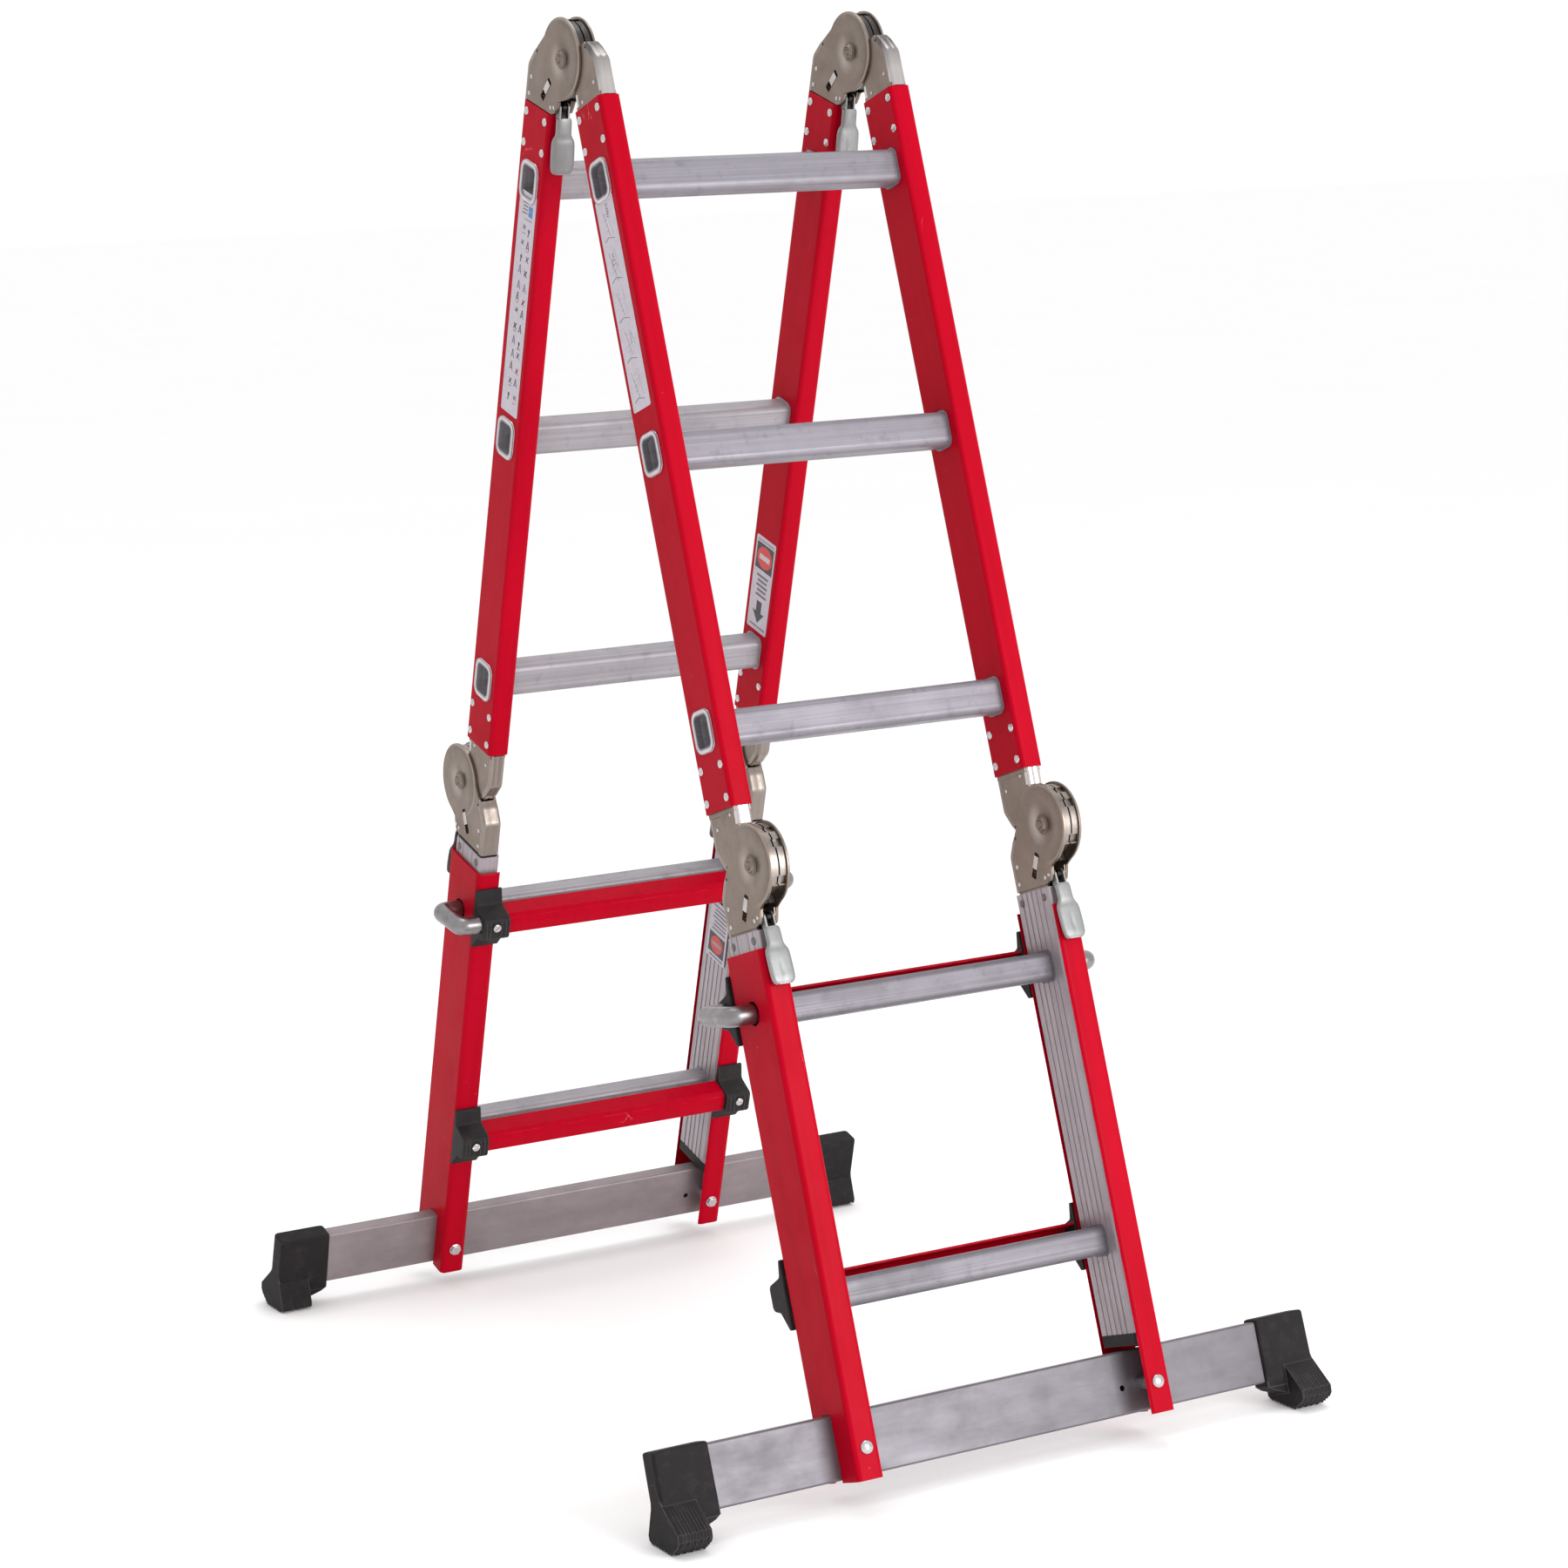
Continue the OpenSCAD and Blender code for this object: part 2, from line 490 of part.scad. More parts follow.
module front_lever_springs() { color(black) front() lower() both() mid_lower_arm() lever_spring(); }
module rear_lever_springs() { color(black) rear() lower() both() mid_lower_arm() lever_spring(); }

front_upper_left_stile();
front_upper_right_stile();
front_upper_rungs();
front_upper_rivets();
top_hinge_inner_arms();
front_hinge_inner_arms();
rear_upper_left_stile();
rear_upper_right_stile();
rear_upper_rungs();
rear_upper_rivets();
top_hinge_outer_arms();
top_hinge_pins();
rear_hinge_inner_arms();
front_lower_left_stile();
front_lower_right_stile();
front_lower_rungs();
front_lower_end_caps();
front_lower_rivets();
front_hinge_outer_arms();
front_hinge_pins();
rear_lower_left_stile();
rear_lower_right_stile();
rear_lower_rungs();
rear_lower_end_caps();
rear_lower_rivets();
rear_hinge_outer_arms();
rear_hinge_pins();
front_extension_left_stile();
front_extension_right_stile();
front_extension_rungs();
front_extension_brackets();
front_extension_fasteners();
front_stabilizer_bar();
front_stabilizer_feet();
rear_extension_left_stile();
rear_extension_right_stile();
rear_extension_rungs();
rear_extension_brackets();
rear_extension_fasteners();
rear_stabilizer_bar();
rear_stabilizer_feet();
top_release_lever_left();
top_release_lever_right();
front_release_lever_left();
front_release_lever_right();
rear_release_lever_left();
rear_release_lever_right();
top_lock_bar_left();
top_lock_bar_right();
front_lock_bar_left();
front_lock_bar_right();
rear_lock_bar_left();
rear_lock_bar_right();
front_lock_pin_left();
front_lock_pin_right();
rear_lock_pin_left();
rear_lock_pin_right();
top_lever_springs();
front_lever_springs();
rear_lever_springs();
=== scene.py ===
import math

import bmesh
import bpy
from mathutils import Matrix, Vector, geometry


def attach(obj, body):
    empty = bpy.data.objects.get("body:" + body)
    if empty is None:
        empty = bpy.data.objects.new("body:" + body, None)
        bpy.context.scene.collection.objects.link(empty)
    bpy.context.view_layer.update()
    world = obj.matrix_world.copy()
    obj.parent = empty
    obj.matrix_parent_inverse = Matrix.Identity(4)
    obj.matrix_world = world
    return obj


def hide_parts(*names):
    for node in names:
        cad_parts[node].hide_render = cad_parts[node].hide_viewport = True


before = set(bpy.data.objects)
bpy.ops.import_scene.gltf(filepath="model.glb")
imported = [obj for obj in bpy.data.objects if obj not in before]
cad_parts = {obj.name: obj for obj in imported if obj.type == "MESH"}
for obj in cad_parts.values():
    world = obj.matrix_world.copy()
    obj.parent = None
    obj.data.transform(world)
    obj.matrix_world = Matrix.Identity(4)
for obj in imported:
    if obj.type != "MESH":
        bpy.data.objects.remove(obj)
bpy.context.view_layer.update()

D = bpy.data

# ------------------------------------------------------------------ places
# The same leg and hinge spaces as the CAD source, in millimetres, turned to metres at the end.
LEAN = math.radians(17.6)
PZ, MT, OFF, SX = 1482.0, 900.0, 42.6, 180.25
SW, SD = 25.5, 64.0
OFF_LO = -OFF
SLV_N0, SLV_N1 = OFF_LO - 39.65, OFF_LO + 39.65
BAR_NC, BOLT_T, BOLT_X = -48.0, 606.5, 181.0
ARM_IN, ARM_OUT, DISC_R, HUB_R = 6.75, 9.75, 44.5, 42.0
DISC_IN, ARM_HI, HUB_H = 8.75, 11.6, 8.6
SLOT_A = 33.0
MM = Matrix.Scale(0.001, 4)
T = Matrix.Translation


def flip(x=1, y=1, z=1):
    return Matrix.Diagonal((x, y, z, 1))


FRONT = T((0, 0, PZ)) @ Matrix.Rotation(-LEAN, 4, "X")
LOW = T((0, -2 * OFF, -MT))
SEC = {"FU": FRONT, "FL": FRONT @ LOW, "RU": flip(y=-1) @ FRONT, "RL": flip(y=-1) @ FRONT @ LOW}
TOP = T((SX, 0, 0)) @ flip(z=-1)
MUP = T((0, -2 * OFF, -MT)) @ T((SX, 0, 0)) @ flip(y=-1)
MLO = T((SX, 0, 0)) @ Matrix.Rotation(math.pi, 4, "X")
LEGN = {"F": "front", "R": "rear"}
SIDES = (("left", flip(x=-1)), ("right", flip()))


# ------------------------------------------------------------------ small geometry kit
def unit(v):
    L = math.hypot(*v)
    return (v[0] / L, v[1] / L) if L > 1e-9 else (0.0, 0.0)


def arc(cx, cy, r, a0, a1, n):
    return [(cx + r * math.cos(math.radians(a0 + (a1 - a0) * i / n)), cy + r * math.sin(math.radians(a0 + (a1 - a0) * i / n))) for i in range(n + 1)]


def rrect(w, h, r, n=6, cx=0.0, cy=0.0):
    out = []
    for sx, sy, a in ((1, 1, 0), (-1, 1, 90), (-1, -1, 180), (1, -1, 270)):
        out += arc(cx + sx * (w / 2 - r), cy + sy * (h / 2 - r), r, a, a + 90, n)
    return out


def area2(p):
    return sum(p[i - 1][0] * p[i][1] - p[i][0] * p[i - 1][1] for i in range(len(p)))


def ccw(p):
    return list(p) if area2(p) > 0 else list(reversed(p))


def resample(p, step):
    out = []
    for i in range(len(p)):
        a, b = p[i], p[(i + 1) % len(p)]
        n = max(1, int(math.ceil(math.dist(a, b) / step)))
        out += [(a[0] + (b[0] - a[0]) * k / n, a[1] + (b[1] - a[1]) * k / n) for k in range(n)]
    return out


def clean(p, eps=0.02):
    out = []
    for q in p:
        if not out or math.dist(out[-1], q) > eps:
            out.append(q)
    if math.dist(out[0], out[-1]) <= eps:
        out.pop()
    return out


def fillet(pts, radii, n=5):
    """Rounds each corner of a polygon by its radius."""
    out = []
    N = len(pts)
    for i in range(N):
        r = radii[i] if isinstance(radii, (list, tuple)) else radii
        a, b, c = pts[i - 1], pts[i], pts[(i + 1) % N]
        u, v = unit((a[0] - b[0], a[1] - b[1])), unit((c[0] - b[0], c[1] - b[1]))
        cosang = max(-0.9999, min(0.9999, u[0] * v[0] + u[1] * v[1]))
        half = math.acos(cosang) / 2
        if r <= 0 or half > math.radians(86):
            out.append(b)
            continue
        d = min(r / math.tan(half), math.dist(a, b) * 0.45, math.dist(b, c) * 0.45)
        r = d * math.tan(half)
        m = unit((u[0] + v[0], u[1] + v[1]))
        cx, cy = b[0] + m[0] * r / math.sin(half), b[1] + m[1] * r / math.sin(half)
        p0, p1 = (b[0] + u[0] * d, b[1] + u[1] * d), (b[0] + v[0] * d, b[1] + v[1] * d)
        a0, a1 = math.atan2(p0[1] - cy, p0[0] - cx), math.atan2(p1[1] - cy, p1[0] - cx)
        da = (a1 - a0 + math.pi) % (2 * math.pi) - math.pi
        out += [(cx + r * math.cos(a0 + da * k / n), cy + r * math.sin(a0 + da * k / n)) for k in range(n + 1)]
    return out


def inset(p, d):
    n, out = len(p), []
    for i in range(n):
        a, b, c = p[i - 1], p[i], p[(i + 1) % n]
        e1, e2 = unit((b[0] - a[0], b[1] - a[1])), unit((c[0] - b[0], c[1] - b[1]))
        n1, n2 = (-e1[1], e1[0]), (-e2[1], e2[0])
        m = unit((n1[0] + n2[0], n1[1] + n2[1]))
        k = 1 / max(0.6, m[0] * n1[0] + m[1] * n1[1])
        out.append((b[0] + m[0] * d * k, b[1] + m[1] * d * k))
    return out


def inside(pt, poly):
    x, y = pt
    c = False
    for i in range(len(poly)):
        x1, y1 = poly[i - 1]
        x2, y2 = poly[i]
        if (y1 > y) != (y2 > y) and x < (x2 - x1) * (y - y1) / (y2 - y1) + x1:
            c = not c
    return c


class Geo:
    """Vertices and faces in millimetres, collected before they become one mesh."""

    def __init__(self):
        self.v, self.f, self.m = [], [], []

    def add(self, v, f, M=None, mi=0):
        k = len(self.v)
        self.v += [tuple(M @ Vector(p)) if M is not None else tuple(p) for p in v]
        self.f += [tuple(i + k for i in q) for q in f]
        self.m += [mi] * len(f)
        return self

    def geo(self, g, M=None):
        k = len(self.v)
        self.v += [tuple(M @ Vector(p)) if M is not None else tuple(p) for p in g.v]
        self.f += [tuple(i + k for i in q) for q in g.f]
        self.m += g.m
        return self


def skin(rings, closed=True, cap0=True, cap1=True):
    """Quads between rings of equal count."""
    n = len(rings[0])
    v = [p for r in rings for p in r]
    f = []
    for j in range(len(rings) - 1):
        for i in range(n if closed else n - 1):
            a, b = j * n + i, j * n + (i + 1) % n
            f.append((a, b, b + n, a + n))
    if cap0:
        f.append(tuple(reversed(range(n))))
    if cap1:
        f.append(tuple(range((len(rings) - 1) * n, len(rings) * n)))
    return v, f


def prism(poly, x0, x1, plane="sp"):
    """A polygon in (y, z) between two x, or with plane 'xz' in (x, z) between two y."""
    p = ccw(clean(poly))
    if plane == "sp":
        rings = [[(x, a, b) for a, b in p] for x in (x0, x1)]
    else:
        rings = [[(a, y, b) for a, b in p] for y in (x0, x1)]
    return skin(rings)


def lathe(profile, seg=28, start=0.0):
    """Turned about x: profile is (radius, x) from one end to the other. A radius of 0 closes to a point."""
    v, f, rows = [], [], []
    for r, x in profile:
        if r < 1e-6:
            rows.append([len(v)])
            v.append((x, 0, 0))
        else:
            rows.append(list(range(len(v), len(v) + seg)))
            v += [(x, r * math.cos(2 * math.pi * i / seg + start), r * math.sin(2 * math.pi * i / seg + start)) for i in range(seg)]
    for a, b in zip(rows, rows[1:]):
        for i in range(seg):
            j = (i + 1) % seg
            if len(a) == 1 and len(b) == 1:
                continue
            if len(a) == 1:
                f.append((a[0], b[i], b[j]))
            elif len(b) == 1:
                f.append((a[i], b[0], a[j]))
            else:
                f.append((a[i], b[i], b[j], a[j]))
    if len(rows[0]) > 1:
        f.append(tuple(rows[0]))
    if len(rows[-1]) > 1:
        f.append(tuple(reversed(rows[-1])))
    return v, f


def sweep(path, radius, seg=20, ends="round"):
    """A round bar along a path. radius may be a number or one per point."""
    P = [Vector(p) for p in path]
    R = [radius] * len(P) if isinstance(radius, (int, float)) else list(radius)
    tan = [(P[min(i + 1, len(P) - 1)] - P[max(i - 1, 0)]).normalized() for i in range(len(P))]
    up = Vector((0, 0, 1)) if abs(tan[0].z) < 0.9 else Vector((0, 1, 0))
    nrm = (up - tan[0] * up.dot(tan[0])).normalized()
    rings = []

    def ring(c, n, b, r):
        return [tuple(c + n * (r * math.cos(2 * math.pi * k / seg)) + b * (r * math.sin(2 * math.pi * k / seg))) for k in range(seg)]

    for i, p in enumerate(P):
        if i:
            nrm = (nrm - tan[i] * nrm.dot(tan[i])).normalized()
        b = tan[i].cross(nrm)
        if i == 0 and ends == "round":
            for a in (80, 55, 30, 12):
                rings.append(ring(p - tan[0] * 0 + tan[0] * (R[0] * 0.35 * (1 - math.sin(math.radians(a)))), nrm, b, R[0] * (1 - 0.35 * (1 - math.cos(math.radians(a))))))
            rings = rings[:4]
            continue
        rings.append(ring(p, nrm, b, R[i]))
    return skin(rings)


def stamped(outline, holes, x0, x1, er=1.0, dish=None, marks=(), step=3.0):
    """A pressed sheet seen from +x: a plate between x0 and x1 with a rounded upper edge.
    dish(s, p) gives how far the upper face drops, and marks are rings of points that carry it."""
    outl = resample(ccw(clean(outline)), step)
    hls = [resample(ccw(clean(h)), step) for h in holes]
    pts, z, edges = [], [], []

    def ring(r, drop):
        k = len(pts)
        pts.extend(r)
        z.extend([drop] * len(r))
        edges.extend([(k + i, k + (i + 1) % len(r)) for i in range(len(r))])

    ring(outl, er)
    for h in hls:
        ring(h, er * 0.5)
    for a in (30, 60, 90):
        d, drop = er * (1 - math.cos(math.radians(a))), er * (1 - math.sin(math.radians(a)))
        r = inset(outl, d if d > 0.05 else 0.05)
        pts.extend(r)
        z.extend([drop] * len(r))
        if a == 90:
            for h in hls:
                q = inset(h, -er * 0.5)
                pts.extend(q)
                z.extend([0.0] * len(q))
    for q in marks:
        ok = inside(q, outl) and not any(inside(q, h) for h in hls)
        if ok and min(math.dist(q, o) for o in outl) > er + 0.8 and all(min(math.dist(q, o) for o in h) > er * 0.5 + 0.5 for h in hls):
            pts.append(q)
            z.append(0.0)
    v2, _, tris, orig, _, _ = geometry.delaunay_2d_cdt([Vector(p) for p in pts], edges, [], 0, 1e-5)
    zz = []
    for i, o in enumerate(orig):
        zz.append(z[o[0]] if o else 0.0)
    good = []
    for t in tris:
        c = (sum(v2[i][0] for i in t) / 3, sum(v2[i][1] for i in t) / 3)
        if inside(c, outl) and not any(inside(c, h) for h in hls):
            good.append(tuple(t))
    n = len(v2)
    v = []
    for i in range(n):
        s, p = v2[i]
        drop = zz[i] + (dish(s, p) if dish and zz[i] < 1e-9 else 0.0)
        v.append((x1 - drop, s, p))
    v += [(x0, s, p) for s, p in v2]
    f = list(good) + [tuple(n + i for i in reversed(t)) for t in good]
    count = {}
    for t in good:
        for i in range(3):
            e = (t[i], t[(i + 1) % 3])
            count[e] = count.get(e, 0) + 1
    for (a, b) in list(count):
        if (b, a) not in count:
            f.append((b, a, n + a, n + b))
    return v, f


def build(name, g, M, body, material, replaces=(), bevel=0.0, seg=2, sharp=32, uv=None, weighted=True, bevel_angle=30):
    """Makes the object in the row frame, from millimetres in a leg's own space."""
    S = MM @ M
    me = D.meshes.new(name)
    me.from_pydata([tuple(S @ Vector(p)) for p in g.v], [], g.f)
    for i, m in enumerate(g.m):
        me.polygons[i].material_index = m
    if uv:
        lay = me.uv_layers.new(name="UVMap")
        for poly in me.polygons:
            for li in poly.loop_indices:
                lay.data[li].uv = uv[me.loops[li].vertex_index]
    bm = bmesh.new()
    bm.from_mesh(me)
    bmesh.ops.remove_doubles(bm, verts=bm.verts, dist=2e-6)
    loose = [x for x in bm.verts if not x.link_faces]
    if loose:
        bmesh.ops.delete(bm, geom=loose, context="VERTS")
    bmesh.ops.recalc_face_normals(bm, faces=bm.faces)
    if bevel:
        es = [e for e in bm.edges if len(e.link_faces) == 2 and e.calc_face_angle(0) > math.radians(bevel_angle)]
        bmesh.ops.bevel(bm, geom=es, offset=bevel * 0.001, offset_type="OFFSET", segments=seg, profile=0.5, affect="EDGES", clamp_overlap=True)
        bmesh.ops.remove_doubles(bm, verts=bm.verts, dist=1e-6)
    bm.to_mesh(me)
    bm.free()
    for p in me.polygons:
        p.use_smooth = True
    me.set_sharp_from_angle(angle=math.radians(sharp))
    o = D.objects.new(name, me)
    bpy.context.scene.collection.objects.link(o)
    for m in material if isinstance(material, (list, tuple)) else [material]:
        me.materials.append(m)
    if weighted:
        w = o.modifiers.new("normals", "WEIGHTED_NORMAL")
        w.keep_sharp = True
    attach(o, body)
    if replaces:
        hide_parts(*([replaces] if isinstance(replaces, str) else replaces))
    return o


# ------------------------------------------------------------------ materials
def lin(r, g, b):
    f = lambda c: c / 12.92 if c <= 0.04045 else ((c + 0.055) / 1.055) ** 2.4
    return (f(r / 255), f(g / 255), f(b / 255), 1.0)


class Mat:
    def __init__(self, name):
        self.m = D.materials.new(name)
        self.m.use_nodes = True
        self.t = self.m.node_tree
        self.t.nodes.clear()
        self.out = self.n("ShaderNodeOutputMaterial")
        self.b = self.n("ShaderNodeBsdfPrincipled")
        self.l(self.b.outputs[0], self.out.inputs[0])
        self.co = self.n("ShaderNodeTexCoord").outputs["Object"]

    def n(self, kind, **kw):
        x = self.t.nodes.new(kind)
        for k, v in kw.items():
            setattr(x, k, v)
        return x

    def l(self, a, b):
        self.t.links.new(a, b)

    def sock(self, name, value):
        self.b.inputs[name].default_value = value

    def put(self, s, val):
        if hasattr(val, "is_output"):
            self.l(val, s)
        else:
            s.default_value = val

    def math(self, op, a, b=0.0, c=0.0, clamp=False):
        x = self.n("ShaderNodeMath", operation=op, use_clamp=clamp)
        for i, q in enumerate((a, b, c)):
            self.put(x.inputs[i], q)
        return x.outputs[0]

    def turned(self, rot=(0, 0, 0), scale=(1, 1, 1)):
        m = self.n("ShaderNodeMapping", vector_type="POINT")
        m.inputs["Rotation"].default_value = rot
        self.l(self.co, m.inputs["Vector"])
        s = self.n("ShaderNodeVectorMath", operation="MULTIPLY")
        self.l(m.outputs[0], s.inputs[0])
        s.inputs[1].default_value = scale
        return s.outputs[0]

    def noise(self, vec, scale=1.0, detail=3.0, rough=0.55, dist=0.0):
        x = self.n("ShaderNodeTexNoise")
        x.inputs["Scale"].default_value = scale
        x.inputs["Detail"].default_value = detail
        x.inputs["Roughness"].default_value = rough
        x.inputs["Distortion"].default_value = dist
        self.l(vec, x.inputs["Vector"])
        return x.outputs[0]

    def ramp(self, fac, lo, hi, v0=0.0, v1=1.0):
        x = self.n("ShaderNodeMapRange", clamp=True)
        self.put(x.inputs["Value"], fac)
        x.inputs["From Min"].default_value = lo
        x.inputs["From Max"].default_value = hi
        x.inputs["To Min"].default_value = v0
        x.inputs["To Max"].default_value = v1
        return x.outputs["Result"]

    def mix(self, fac, a, b, blend="MIX"):
        x = self.n("ShaderNodeMix", data_type="RGBA", blend_type=blend)
        self.put(x.inputs[0], fac)
        self.put(x.inputs[6], a)
        self.put(x.inputs[7], b)
        return x.outputs[2]

    def bump(self, height, strength, dist, normal=None):
        x = self.n("ShaderNodeBump")
        x.inputs["Strength"].default_value = strength
        x.inputs["Distance"].default_value = dist
        self.l(height, x.inputs["Height"])
        if normal is not None:
            self.l(normal, x.inputs["Normal"])
        return x.outputs[0]

    def edges(self, radius, lo=0.9, hi=0.985):
        """0 on flat ground, 1 on outer edges narrower than the radius."""
        be = self.n("ShaderNodeBevel", samples=6)
        be.inputs["Radius"].default_value = radius
        g = self.n("ShaderNodeNewGeometry")
        d = self.n("ShaderNodeVectorMath", operation="DOT_PRODUCT")
        self.l(be.outputs[0], d.inputs[0])
        self.l(g.outputs["Normal"], d.inputs[1])
        return self.ramp(d.outputs["Value"], lo, hi, 1.0, 0.0)


ROT = {"F": (LEAN, 0, 0), "R": (-LEAN, 0, 0), "X": (0, 0, 0)}


def paint(name, which):
    m = Mat(name)
    leg = m.turned(ROT[which])
    big = m.noise(leg, 3.5, 3)
    mid = m.noise(leg, 28, 4, 0.6)
    peel = m.noise(leg, 620, 2, 0.5)
    streak = m.noise(m.turned(ROT[which], (90, 90, 3.0)), 1.0, 4, 0.6)
    c = m.mix(m.ramp(big, 0.35, 0.68), lin(165, 0, 26), lin(172, 0, 30))
    c = m.mix(m.ramp(streak, 0.42, 0.75, 0, 0.40), c, lin(144, 0, 20))
    c = m.mix(m.ramp(mid, 0.56, 0.72, 0, 0.25), c, lin(150, 0, 22))
    # short pale scuffs, a few on each stile
    w = m.turned(ROT[which], (26, 26, 9))
    vo = m.n("ShaderNodeTexVoronoi", feature="DISTANCE_TO_EDGE")
    vo.inputs["Scale"].default_value = 1.0
    wob = m.n("ShaderNodeVectorMath", operation="ADD")
    nn = m.n("ShaderNodeTexNoise")
    nn.inputs["Scale"].default_value = 2.2
    m.l(w, nn.inputs["Vector"])
    sc = m.n("ShaderNodeVectorMath", operation="SCALE")
    m.l(nn.outputs[1], sc.inputs[0])
    sc.inputs["Scale"].default_value = 0.7
    m.l(w, wob.inputs[0])
    m.l(sc.outputs[0], wob.inputs[1])
    m.l(wob.outputs[0], vo.inputs["Vector"])
    line = m.ramp(vo.outputs["Distance"], 0.004, 0.013, 1, 0)
    where = m.ramp(m.noise(leg, 11, 2), 0.66, 0.70)
    fleck = m.ramp(m.noise(leg, 260, 2), 0.55, 0.62)
    scuff = m.math("MULTIPLY", m.math("MULTIPLY", line, where), m.math("ADD", 0.35, m.math("MULTIPLY", fleck, 0.65)))
    chips = m.math("MULTIPLY", m.ramp(m.noise(leg, 170, 3), 0.735, 0.76), m.ramp(m.noise(leg, 6, 1), 0.52, 0.62))
    wear = m.math("MULTIPLY", m.edges(0.0014), m.ramp(m.noise(leg, 60, 4), 0.44, 0.70))
    pale = m.math("MAXIMUM", m.math("MULTIPLY", scuff, 0.55), m.math("MULTIPLY", chips, 0.6), 0)
    c = m.mix(pale, c, lin(248, 150, 160))
    c = m.mix(m.math("MULTIPLY", wear, 0.42), c, lin(238, 96, 110))
    m.put(m.b.inputs["Base Color"], c)
    m.put(m.b.inputs["Roughness"], m.math("ADD", m.ramp(mid, 0.3, 0.7, 0.36, 0.47), m.math("MULTIPLY", scuff, 0.2)))
    m.sock("Metallic", 0.0)
    m.sock("Specular IOR Level", 0.04)
    m.sock("Coat Weight", 0.012)
    m.sock("Coat Roughness", 0.2)
    nrm = m.bump(peel, 0.10, 0.00012)
    nrm = m.bump(m.math("MULTIPLY", m.math("ADD", scuff, chips), -1.0), 0.5, 0.00018, nrm)
    m.put(m.b.inputs["Normal"], nrm)
    return m.m


def metal(name, rot, along, rgb, alt, rough=0.34, streak=0.5, bump=0.05, metallic=1.0, aniso=0.0, blotch=0.25, edge=0.0, edge_rgb=(240, 240, 240), dark=0.0, centre=None, far=None):
    """Brushed or plated metal: along is the scale triple that draws the grain out."""
    m = Mat(name)
    base = m.turned(rot)
    g1 = m.noise(m.turned(rot, along), 1.0, 5, 0.65)
    g2 = m.noise(m.turned(rot, tuple(2.9 * a for a in along)), 1.0, 2, 0.5)
    bl = m.noise(base, 17, 4, 0.6)
    sp = m.noise(base, 900, 2, 0.5)
    c = m.mix(m.ramp(g1, 0.32, 0.70, 0, streak), lin(*rgb), lin(*alt))
    c = m.mix(m.ramp(bl, 0.45, 0.75, 0, blotch), c, tuple(x * 0.72 for x in lin(*alt)[:3]) + (1,))
    if dark:
        d = m.noise(base, 55, 5, 0.7)
        c = m.mix(m.ramp(d, 0.56, 0.70, 0, dark), c, lin(*[x * 0.45 for x in alt]))
    # painted light: with centre, highlight and shade around a pivot are painted into the colour
    if centre:
        v = m.n("ShaderNodeVectorMath", operation="SUBTRACT")
        m.l(m.co, v.inputs[0])
        v.inputs[1].default_value = (0.0, centre[0], centre[1])
        f = m.n("ShaderNodeVectorMath", operation="MULTIPLY")
        m.l(v.outputs[0], f.inputs[0])
        f.inputs[1].default_value = (0.0, 1.0, 1.0)
        ln = m.n("ShaderNodeVectorMath", operation="LENGTH")
        m.l(f.outputs[0], ln.inputs[0])
        d = ln.outputs["Value"]
        un = m.n("ShaderNodeVectorMath", operation="NORMALIZE")
        m.l(f.outputs[0], un.inputs[0])
        dt = m.n("ShaderNodeVectorMath", operation="DOT_PRODUCT")
        m.l(un.outputs[0], dt.inputs[0])
        dt.inputs[1].default_value = (0.0, 0.94, -0.34)
        a = dt.outputs["Value"]
        if far is None:
            # painted light around the pin: a painted highlight on one side of the pressed hollow and painted shade on
            # the other, a painted shade ring round the pin head, painted shade toward the disc's edge on the dim side,
            # and a painted highlight on the bead near the rim
            dish_light_and_shade_mask = m.math("MULTIPLY", m.ramp(d, 0.0095, 0.0125), m.ramp(d, 0.0165, 0.026, 1, 0))
            c = m.mix(m.math("MULTIPLY", dish_light_and_shade_mask, m.ramp(a, -0.1, 0.9, 0, 0.55)), c, lin(186, 178, 172))
            c = m.mix(m.math("MULTIPLY", dish_light_and_shade_mask, m.ramp(a, 0.1, -0.9, 0, 0.50)), c, lin(84, 76, 71))
            c = m.mix(m.math("MULTIPLY", m.ramp(d, 0.0082, 0.0092), m.ramp(d, 0.0104, 0.0120, 0.6, 0)), c, lin(88, 82, 78))
            disc = m.ramp(d, 0.0440, 0.0450, 1, 0)
            c = m.mix(m.math("MULTIPLY", m.math("MULTIPLY", m.ramp(d, 0.030, 0.0400, 0, 0.34), disc), m.ramp(a, 0.5, -0.6)), c, lin(98, 90, 84))
            bead_highlight_mask = m.math("MULTIPLY", m.ramp(d, 0.0408, 0.0420), disc)
            c = m.mix(m.math("MULTIPLY", bead_highlight_mask, m.ramp(a, 0.3, -0.5, 0, 0.5)), c, lin(172, 160, 149))
        else:
            # painted shade: darker out to far[0] from the pivot, fading to the base colour by far[1]
            c = m.mix(m.ramp(d, far[0], far[1], 1, 0), c, lin(*far[2]))
    if edge:
        c = m.mix(m.math("MULTIPLY", m.edges(0.0009), edge), c, lin(*edge_rgb))
    m.put(m.b.inputs["Base Color"], c)
    r = m.math("ADD", m.ramp(g1, 0.3, 0.7, rough - 0.07, rough + 0.07), m.ramp(bl, 0.4, 0.7, -0.02, 0.07))
    m.put(m.b.inputs["Roughness"], r)
    m.sock("Metallic", metallic)
    if aniso:
        m.sock("Anisotropic", aniso)
    nrm = m.bump(g2, bump, 0.00010)
    nrm = m.bump(sp, bump * 0.5, 0.00004, nrm)
    m.put(m.b.inputs["Normal"], nrm)
    return m.m


